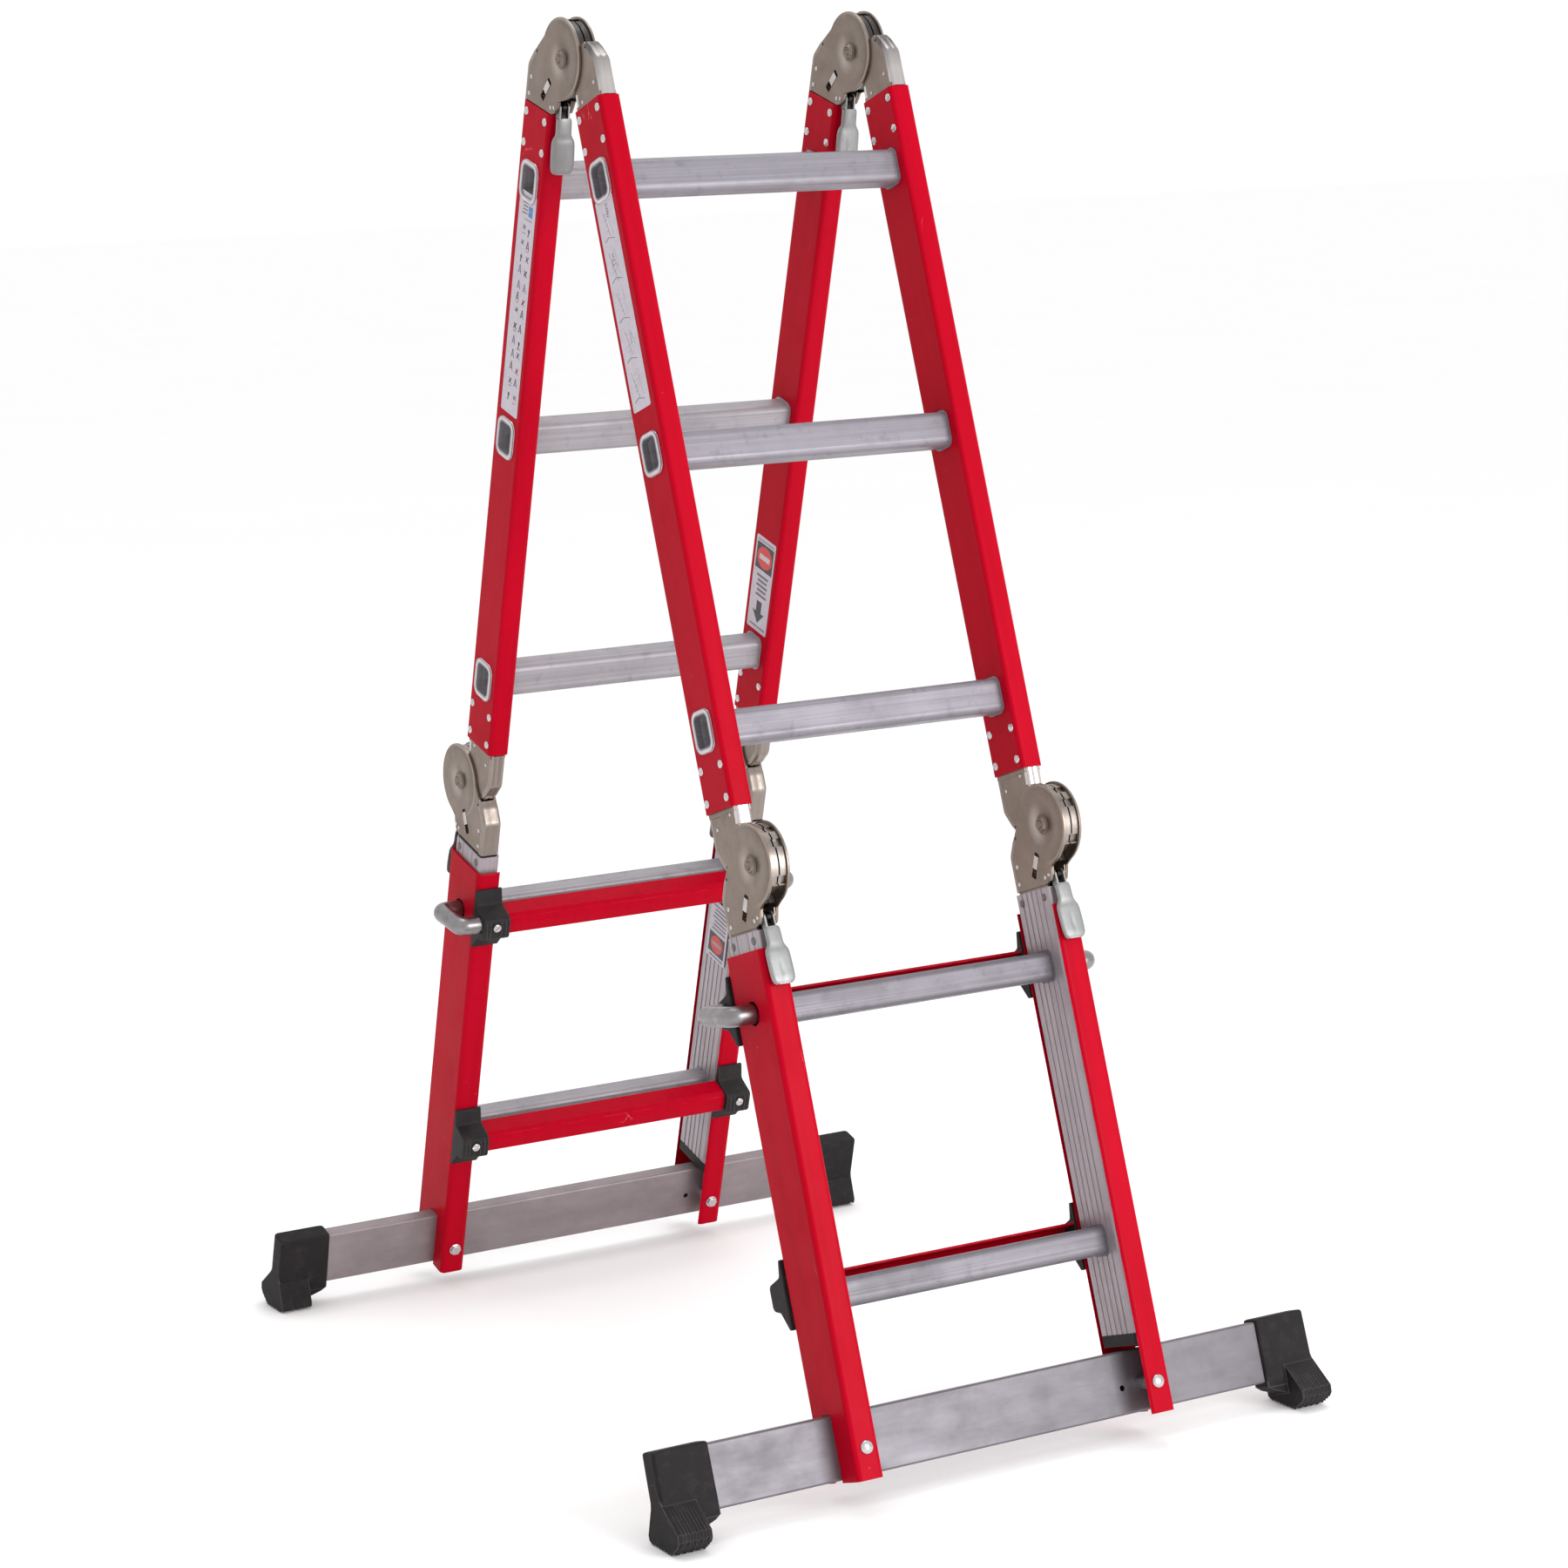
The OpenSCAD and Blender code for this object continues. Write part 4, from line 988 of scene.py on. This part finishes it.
spr = spring_geo()
for which, sec, Mx, body in (("top", "RU", TOP, "rear_upper"), ("front", "FL", MLO, "front_lower"), ("rear", "RL", MLO, "rear_lower")):
    g = Geo()
    for _, S in SIDES:
        g.geo(spr, S @ Mx)
    build(f"{which}_wound_springs", g, SEC[sec], body, DARK, f"{which}_lever_springs", sharp=60, weighted=False)


# ------------------------------------------------------------------ lock pins: one bent bar each
def bend_path(pts, r, n=9):
    out = [Vector(pts[0])]
    for i in range(1, len(pts) - 1):
        a, b, c = Vector(pts[i - 1]), Vector(pts[i]), Vector(pts[i + 1])
        u, v = (a - b).normalized(), (c - b).normalized()
        half = u.angle(v) / 2
        d = r / math.tan(half)
        m = (u + v).normalized()
        cen = b + m * (r / math.sin(half))
        p0, p1 = b + u * d, b + v * d
        q0, q1 = p0 - cen, p1 - cen
        ang = q0.angle(q1)
        for k in range(n + 1):
            f = k / n
            out.append(cen + (q0 * math.sin((1 - f) * ang) + q1 * math.sin(f * ang)) / math.sin(ang))
    out.append(Vector(pts[-1]))
    return out


for w in "FR":
    n = LEGN[w]
    for h, S in SIDES:
        a, b = (193.6, 42.6, -150.0), (222.0, 42.6, -150.0)
        c, d = (222.0, 100.0, -142.0), (179.1, 100.0, -142.0)
        path = bend_path([a, b, c, d], 8.0)
        # plain straight legs need points near their ends for the tapered tips
        path = [path[0], path[0].lerp(path[1], 0.12)] + path[1:-1] + [path[-2].lerp(path[-1], 0.94), path[-1]]
        rad = [9.4] + [10.95] * (len(path) - 2) + [9.2]
        v, f = sweep([tuple(p) for p in path], rad, 28, "flat")
        g = Geo().add(v, f, S)
        build(f"{n}_bent_lock_pin_{h}", g, SEC[w + "L"], f"{n}_handle_{h}", GALV, f"{n}_lock_pin_{h}", sharp=40)


# ------------------------------------------------------------------ bolts and screws
def n_axis(x, t, nn):
    """Turns a lathe about x into one about the outward normal, at (x, t, n)."""
    return T((x, -nn, -t)) @ Matrix.Rotation(-math.pi / 2, 4, "Z")


def dome_bolt(r=7.4, h=3.9):
    prof = [(0, -1.5), (r, -1.5), (r, 0.7)] + [(r * math.cos(a), 0.7 + (h - 0.7) * math.sin(a)) for a in (0.3, 0.6, 0.9, 1.15)]
    prof += [(r * 0.32, h), (r * 0.30, h - 1.3), (0, h - 1.5)]
    return lathe(prof, 32)


def slotted(r=5.0, h=2.6):
    g = Geo()
    # a cheese head cut across by a slot: two half rounds on a base
    v, f = lathe([(0, -1), (r, -1), (r, h * 0.45), (r * 0.985, h * 0.5), (0, h * 0.5)], 28)
    g.add(v, f)
    for s in (1, -1):
        ring0 = [(0.55 * s, -math.sqrt(max(0.0, (r * 0.98) ** 2 - 0.3)))] + [((r * 0.98) * math.cos(a) * s, (r * 0.98) * math.sin(a)) for a in [(-84 + 168 * i / 16) * math.pi / 180 for i in range(17)]] + [(0.55 * s, math.sqrt(max(0.0, (r * 0.98) ** 2 - 0.3)))]
        rings = []
        for x, k in ((h * 0.4, 1.0), (h * 0.72, 0.99), (h * 0.92, 0.86), (h, 0.62)):
            rings.append([(x, max(0.55, abs(a) * k) * s, b * k) for a, b in ring0])
        v, f = skin(rings)
        g.add(v, f)
    return g


for w in "FR":
    n = LEGN[w]
    g = Geo()
    for _, S in SIDES:
        v, f = dome_bolt()
        g.add(v, f, S @ n_axis(BOLT_X, BOLT_T, SLV_N1))
        # far side: washer and lock nut
        v, f = lathe([(4.2, 0.0), (7.4, 0.0), (7.4, -1.1), (4.2, -1.1)], 28)
        g.add(v, f, S @ n_axis(BOLT_X, BOLT_T, SLV_N0))
        v, f = lathe([(0, -1.0), (6.6, -1.0), (6.6, -4.2), (5.6, -4.9), (4.0, -5.0), (0, -4.6)], 6)
        g.add(v, f, S @ n_axis(BOLT_X, BOLT_T, SLV_N0))
        v, f = lathe([(0, -34), (3.9, -34), (3.9, -2), (0, -2)], 20)
        g.add(v, f, S @ n_axis(BOLT_X, BOLT_T, SLV_N1))
        v, f = lathe([(0, 5), (3.9, 5), (3.9, 33), (0, 33)], 20)
        g.add(v, f, S @ n_axis(BOLT_X, BOLT_T, SLV_N0))
        for n0, n1 in ((BAR_NC + 9.05, SLV_N1 - 2.75), (SLV_N0 + 2.75, BAR_NC - 9.05)):
            v, f = lathe([(4.2, 0), (7.5, 0), (7.5, n1 - n0), (4.2, n1 - n0)], 28)
            g.add(v, f, S @ n_axis(BOLT_X, BOLT_T, n0))
        for t in (150, 450):
            turn = Matrix.Rotation(math.radians(38 + t / 9), 4, "X")
            g.geo(slotted(), S @ n_axis(183, t - 9, SLV_N0 - 33.6) @ flip(x=-1) @ turn)
    build(f"{n}_bolts_and_screws", g, SEC[w + "L"], f"{n}_extension", BOLTM, f"{n}_extension_fasteners", sharp=40)


# ------------------------------------------------------------------ tread end brackets, moulded
def bracket_geo(bored):
    """Drawn as (t, n) from the middle of the rung, x to the right."""
    out = [(-45, 0), (-45, -3.4), (-27, -8), (-20, -31), (-16, -33.2), (4, -33.2), (8, -30), (10, -18), (29, -4.5), (29, 0)]
    g = Geo()
    pl = [(-nn, -t) for t, nn in fillet(out, [1, 2, 5, 4, 3, 4, 4, 6, 2, 1], 4)]
    v, f = prism(pl, 165.7, 199.1)
    g.add(v, f)
    return g


def cheek_geo():
    out = [(-45, 0.2), (-45, -3), (-40, -12), (-20, -12.2), (-19, 0), (29, 0.2)]
    g = Geo()
    pl = [(a, -t) for a, t in [(12.0, -29), (12.0, 29), (12.0, 45), (0.0, 45)]]
    v, f = prism(fillet([(-12.2 + 24.2 - 12.0, -45.0), (12.2, -45.0), (12.2, 29.0), (0.0, 29.0)], [0.5, 4, 4, 0.5], 4), 196.9, 199.3)
    g.add(v, f)
    return g


for w in "FR":
    n = LEGN[w]
    g = Geo()
    for _, S in SIDES:
        for t, bored in ((150, True), (450, False)):
            M = S @ T((0, -SLV_N0 + 0.1, -t))
            out = [(-45, 0), (-45, -3.4), (-27, -8), (-20, -31), (-16, -33.2), (4, -33.2), (8, -30), (10, -18), (29, -4.5), (29, 0)]
            pl = [(-nn, -tt) for tt, nn in fillet(out, [1, 2, 5, 4, 3, 4, 4, 6, 2, 1], 4)]
            hole = [(-(100.0 - SLV_N0) + 11.4 * math.cos(2 * math.pi * i / 32), 8 + 11.4 * math.sin(2 * math.pi * i / 32)) for i in range(32)]
            if bored:
                v, f = stamped(pl, [hole], 165.7, 199.1, 1.4, None, (), 3)
                g.add(v, f, M)
            else:
                v, f = stamped(pl, [], 165.7, 199.1, 1.4, None, (), 3)
                g.add(v, f, M)
            # ribs moulded across the nose
            for x in (170.5, 176.0, 190.5, 195.0):
                v, f = prism([(31.5, -6), (34.4, -4), (34.4, 14), (31.5, 17)], x, x + 1.4)
                g.add(v, f, M)
    build(f"{n}_moulded_brackets", g, SEC[w + "L"], f"{n}_extension", PLASTIC, f"{n}_extension_brackets", bevel=0.7, seg=2, sharp=45, bevel_angle=40)


# ------------------------------------------------------------------ rubber boots
def boot_geo():
    """x from the middle of the boot's sleeve, built in the leg's own space at the right-hand end."""
    g = Geo()
    cx = 373.0
    yc = -BAR_NC
    # sleeve: rounded box with a softly crowned top and a drawn-in mouth toward the bar
    rings = []
    prof = [(566.9, -2.6), (567.3, -1.2), (568.4, -0.25), (570.5, 0.0), (585, 0.15), (610, 0.35), (630, 0.5), (638, 0.4), (642.4, 0.0)]
    for t, k in prof:
        rings.append([(a, b, -t) for a, b in rrect(64 + 2 * k, 26 + 2 * k, 4.0, 6, cx, yc)])
    v, f = skin(rings)
    g.add(v, f)
    return g


def sole_profile(k=0):
    """(y, z) outline of the rocker sole with its teeth, and a gusset at each side."""
    up = [(621, -35.4), (652, -10.4), (660, -11.4), (665.2, -17)]
    pts = list(up)
    a, b = (665.2, -17.0), (670.5, -30.0)
    steps = 5
    for i in range(1, steps + 1):
        q = (a[0] + (b[0] - a[0]) * i / steps, a[1] + (b[1] - a[1]) * i / steps)
        pts.append((q[0] - (1.6 if i % 2 else 0.0), q[1] + 0.6))
    # the flat on the floor, toothed
    c = math.cos(LEAN)
    s = math.sin(LEAN)
    fl = lambda nn: (PZ + s * (nn + 2 * OFF)) / c - MT
    m = 12
    for i in range(m + 1):
        nn = -32.0 - (36.0 * i / m)
        pts.append((fl(nn) - 0.1 - (2.0 if i % 2 else 0.0), nn))
    pts += [(657.5, -73.4), (654.6, -76.5), (649.5, -76.5), (624, -60.6), (600, -52), (600, -44)]
    return [(-nn, -t) for t, nn in pts]


for w in "FR":
    n = LEGN[w]
    g = Geo()
    for _, S in SIDES:
        g.geo(boot_geo(), S)
        y0, y1 = -BAR_NC - 12.6, -BAR_NC + 12.6
        v, f = prism(fillet([(341.4, -636), (341.4, -641.4), (348, -646), (367, -653), (404.4, -653), (404.4, -636)], [0, 1, 3, 3, 1, 0], 3), y0, y1, "xz")
        g.add(v, f, S)
        # sole: notched front and back edges, drawn as slices so the teeth run both ways
        xs = [366.5, 369.2, 369.3, 373.0, 373.1, 376.8, 376.9, 380.6, 380.7, 384.4, 384.5, 388.2, 388.3, 392.0, 392.1, 395.8, 395.9, 399.6, 399.7, 403.0, 405.4]
        prof = ccw(sole_profile())
        zlo = min(b for _, b in prof)
        rings = []
        for i, x in enumerate(xs):
            up = 0.0 if (i // 2) % 2 == 0 else 1.1
            ring = []
            for a, b in prof:
                edge = 1.0 if b < -650 else 0.0
                k = up * edge
                ring.append((x, a, b + k))
            rings.append(ring)
        v, f = skin(rings)
        g.add(v, f, S)
    build(f"{n}_rubber_boots", g, SEC[w + "L"], f"{n}_extension", RUBBER, f"{n}_stabilizer_feet", bevel=0.7, seg=2, sharp=38, bevel_angle=38)


# ------------------------------------------------------------------ labels: film with plain shapes printed on it, no lettering
class Rng:
    def __init__(self, seed):
        self.s = seed

    def __call__(self, a=0.0, b=1.0):
        self.s = (self.s * 1103515245 + 12345) % 2147483648
        return a + (b - a) * self.s / 2147483648.0


class Print:
    """Shapes in (u, v) millimetres: u across the label, v down it."""

    def __init__(self, w, h):
        self.g, self.w, self.h = Geo(), w, h
        v, f = self.slab(fillet([(-w / 2, 0), (w / 2, 0), (w / 2, h), (-w / 2, h)], 2.5, 4), 0.0, 0.18)
        self.g.add(v, f, None, 0)

    def slab(self, poly, z0, z1):
        p = ccw(clean(poly, 0.005))
        return skin([[(a, b, z) for a, b in p] for z in (z0, z1)])

    def shape(self, poly, mi, z=0.2):
        v, f = self.slab(poly, z - 0.06, z)
        self.g.add(v, f, None, mi)

    def rect(self, u0, v0, u1, v1, mi, z=0.2):
        self.shape([(u0, v0), (u1, v0), (u1, v1), (u0, v1)], mi, z)

    def line(self, a, b, wd, mi, z=0.2):
        wd *= 1.5
        t = unit((b[0] - a[0], b[1] - a[1]))
        nx, ny = -t[1] * wd / 2, t[0] * wd / 2
        self.shape([(a[0] + nx, a[1] + ny), (b[0] + nx, b[1] + ny), (b[0] - nx, b[1] - ny), (a[0] - nx, a[1] - ny)], mi, z)

    def disc(self, u, v, r, mi, z=0.2, n=24, squash=1.0):
        self.shape([(u + r * math.cos(2 * math.pi * i / n), v + squash * r * math.sin(2 * math.pi * i / n)) for i in range(n)], mi, z)


def on_side(sx, x, t0, nmid, inward=False):
    """Label space (u across, v down, z off the face) onto a stile's side at |x|, its top at t0 and middle at n."""
    zx = sx * (-1 if inward else 1)
    return Matrix(((0, 0, zx, sx * x), (-1, 0, 0, -nmid), (0, -1, 0, -t0), (0, 0, 0, 1)))


def stepladder_icon(pr, u, v, k, mi, wd=0.5):
    pr.line((u, v), (u - 4 * k, v + 12 * k), wd, mi)
    pr.line((u, v), (u + 4 * k, v + 12 * k), wd, mi)
    for i in (3, 6, 9):
        pr.line((u - i / 3 * k, v + i * k), (u + i / 3 * k, v + i * k), wd * 0.8, mi)


# long plate with line drawings, front left stile
pr = Print(41, 232)
r = Rng(11)
for i in range(5):
    v0 = 10 + i * 44
    pr.line((-8 + r(-3, 3), v0 + 4), (2 + r(-3, 3), v0 + 30 + r(0, 8)), 0.45, 1)
    pr.line((3 + r(-2, 2), v0 + 2), (9 + r(-2, 2), v0 + 32), 0.45, 5)
    pr.line((-14, v0 + 36), (-4, v0 + 33), 0.7, 1)
    pr.line((-4, v0 + 33), (10, v0 + 36.5), 0.5, 1)
    for k in range(4):
        pr.line((-7 + r(-2, 2), v0 + 8 + 6 * k), (-1 + r(-1, 3), v0 + 7 + 6 * k), 0.4, 5)
for k in range(6):
    pr.line((1.0 + r(-0.6, 0.6), 8 + 2.6 * k), (6.5 + r(-2, 1), 8.4 + 2.6 * k), 0.9, 1)
stepladder_icon(pr, -2, 60, 1.4, 1, 0.5)
stepladder_icon(pr, 6, 148, 1.3, 5, 0.5)
PLATES = [("front_left_line_plate", pr, on_side(-1, SX + SW / 2 + 0.02, 168.5, 41.0), "FU", "front_upper")]

# long plate with pictogram clutter and a blue square, rear left stile
pr = Print(41, 258)
r = Rng(77)
pr.rect(-13.5, 14, -3.5, 26, 3)
pr.rect(-12.2, 18.5, -5.0, 20.6, 5, 0.24)
for k in range(5):
    pr.line((-1.5, 8 + 4 * k), (9 + r(-3, 3), 8.6 + 4 * k), 1.1, 1)
pr.line((-14, 30), (4, 30.6), 1.2, 5)
for row in range(13):
    v0 = 38 + row * 16.2
    for col, u0 in ((0, -9.5), (1, 4.5)):
        uu, vv = u0 + r(-1, 1), v0 + r(-1.5, 1.5)
        mi = 2 if r() > 0.45 else 1
        kind = r()
        if kind < 0.34:
            stepladder_icon(pr, uu, vv - 2, 0.85, mi, 0.9)
        elif kind < 0.6:
            pr.line((uu - 3.4, vv), (uu + 3.4, vv + 7), 1.3, mi)
            pr.line((uu + 3.0, vv + 0.5), (uu - 3.0, vv + 7.5), 1.3, mi if r() > 0.3 else 4)
        elif kind < 0.8:
            pr.rect(uu - 3.5, vv, uu + 3.2, vv + 5.5, 5)
            pr.line((uu - 2.6, vv + 1.5), (uu + 2.4, vv + 4), 1.2, mi, 0.24)
        else:
            pr.disc(uu, vv + 3, 2.2, mi)
            pr.line((uu, vv + 4), (uu + 1.5, vv + 10), 1.3, mi)
        if r() > 0.72:
            pr.line((uu - 4, vv + 9.5), (uu + 4, vv + 10), 0.6, 4 if r() > 0.6 else 1)
PLATES.append(("rear_left_picture_plate", pr, on_side(-1, SX + SW / 2 + 0.02, 162.0, 41.0), "RU", "rear_upper"))

# notice on the inside of the rear right stile: dark panel with a red oval, grey bars, an arrow
pr = Print(46, 118)
pr.rect(-20, 8, 20, 41, 2)
pr.disc(0, 24.5, 17.5, 4, 0.24, 32, 0.78)
pr.rect(-12, 21.5, 12, 28, 0, 0.28)
pr.rect(-19, 3.6, 19, 6.2, 5)
for k in range(5):
    pr.rect(-14 + (k % 2) * 2, 47 + 6.0 * k, 13 - (k * 3) % 5, 50.2 + 6.0 * k, 1)
pr.shape([(-6, 80), (6, 80), (6, 94), (13.5, 94), (0, 108), (-13.5, 94), (-6, 94)], 2)
pr.line((-19, 112.5), (17, 112.5), 1.3, 1)
PLATES.append(("rear_right_arrow_notice", pr, on_side(1, SX - SW / 2 - 0.02, 606, 42.0, True), "RU", "rear_upper"))

# striped notice with a red oval, lower right stile of the rear leg
pr = Print(47, 78)
for k in range(7):
    pr.rect(-18, 5 + 5.2 * k, 17 - (k * 5) % 7, 7.2 + 5.2 * k, 1)
pr.rect(-19.5, 43, 19.5, 70, 2)
pr.disc(0, 56.5, 15, 4, 0.24, 32, 0.76)
pr.rect(-11, 54.2, 11, 58.6, 5, 0.28)
pr.rect(-18, 73, 15, 75, 1)
PLATES.append(("rear_right_striped_notice", pr, on_side(1, SX - SW / 2 - 1.5, 196, -44.0, True), "RL", "rear_lower"))

for name, pr, M, sec, body in PLATES:
    build(name, pr.g, SEC[sec] @ M, body, LABEL, sharp=30, weighted=False)

# ------------------------------------------------------------------ floor, light, camera
def plane(name, size, z=0.0):
    me = D.meshes.new(name)
    me.from_pydata([(-size, -size, z), (size, -size, z), (size, size, z), (-size, size, z)], [], [(0, 1, 2, 3)])
    o = D.objects.new(name, me)
    bpy.context.scene.collection.objects.link(o)
    return o


floor = plane("studio_floor", 60.0, -0.0006)
m = Mat("studio_floor_pale")
c = m.mix(m.ramp(m.noise(m.turned(), 1.1, 3), 0.3, 0.7), lin(252, 252, 252), lin(251, 251, 251))
m.put(m.b.inputs["Base Color"], c)
m.sock("Roughness", 0.85)
m.sock("Specular IOR Level", 0.15)
floor.data.materials.append(m.m)

world = D.worlds.new("studio")
bpy.context.scene.world = world
world.use_nodes = True
nt = world.node_tree
nt.nodes.clear()
wo = nt.nodes.new("ShaderNodeOutputWorld")
bg = nt.nodes.new("ShaderNodeBackground")
bg.inputs["Color"].default_value = (1.0, 1.0, 1.0, 1.0)
bg.inputs["Strength"].default_value = 1.02
nt.links.new(bg.outputs[0], wo.inputs[0])


def area(name, loc, target, size, power, color=(1, 1, 1), size_y=None):
    li = D.lights.new(name, "AREA")
    li.energy = power
    li.color = color
    li.shape = "RECTANGLE"
    li.size = size
    li.size_y = size_y or size
    o = D.objects.new(name, li)
    o.location = loc
    o.rotation_euler = (Vector(target) - Vector(loc)).to_track_quat("-Z", "Y").to_euler()
    bpy.context.scene.collection.objects.link(o)
    return o


area("key", (1.0, -3.6, 1.3), (0, -0.2, 0.6), 1.9, 95, (1.0, 0.985, 0.985))
area("top", (0.4, 0.6, 4.6), (0, 0, 0.6), 2.4, 40, (1.0, 1.0, 1.0))

cam = D.cameras.new("camera")
cam.sensor_width = 36.0
cam.sensor_fit = "HORIZONTAL"
cam.lens = 89.74
cam.clip_start, cam.clip_end = 0.1, 200
co = D.objects.new("camera", cam)
yaw, pitch, roll = math.radians(29.46), math.radians(-9.44), math.radians(-2.09)
fwd = Vector((math.sin(yaw) * math.cos(pitch), math.cos(yaw) * math.cos(pitch), math.sin(pitch)))
right = Vector((math.cos(yaw), -math.sin(yaw), 0))
up = right.cross(fwd)
r2 = right * math.cos(roll) + up * math.sin(roll)
u2 = -right * math.sin(roll) + up * math.cos(roll)
co.matrix_world = Matrix(((r2.x, u2.x, -fwd.x, -2.1115), (r2.y, u2.y, -fwd.y, -3.8307), (r2.z, u2.z, -fwd.z, 1.3941), (0, 0, 0, 1)))
bpy.context.scene.collection.objects.link(co)
bpy.context.scene.camera = co
bpy.context.scene.view_settings.view_transform = "Standard"
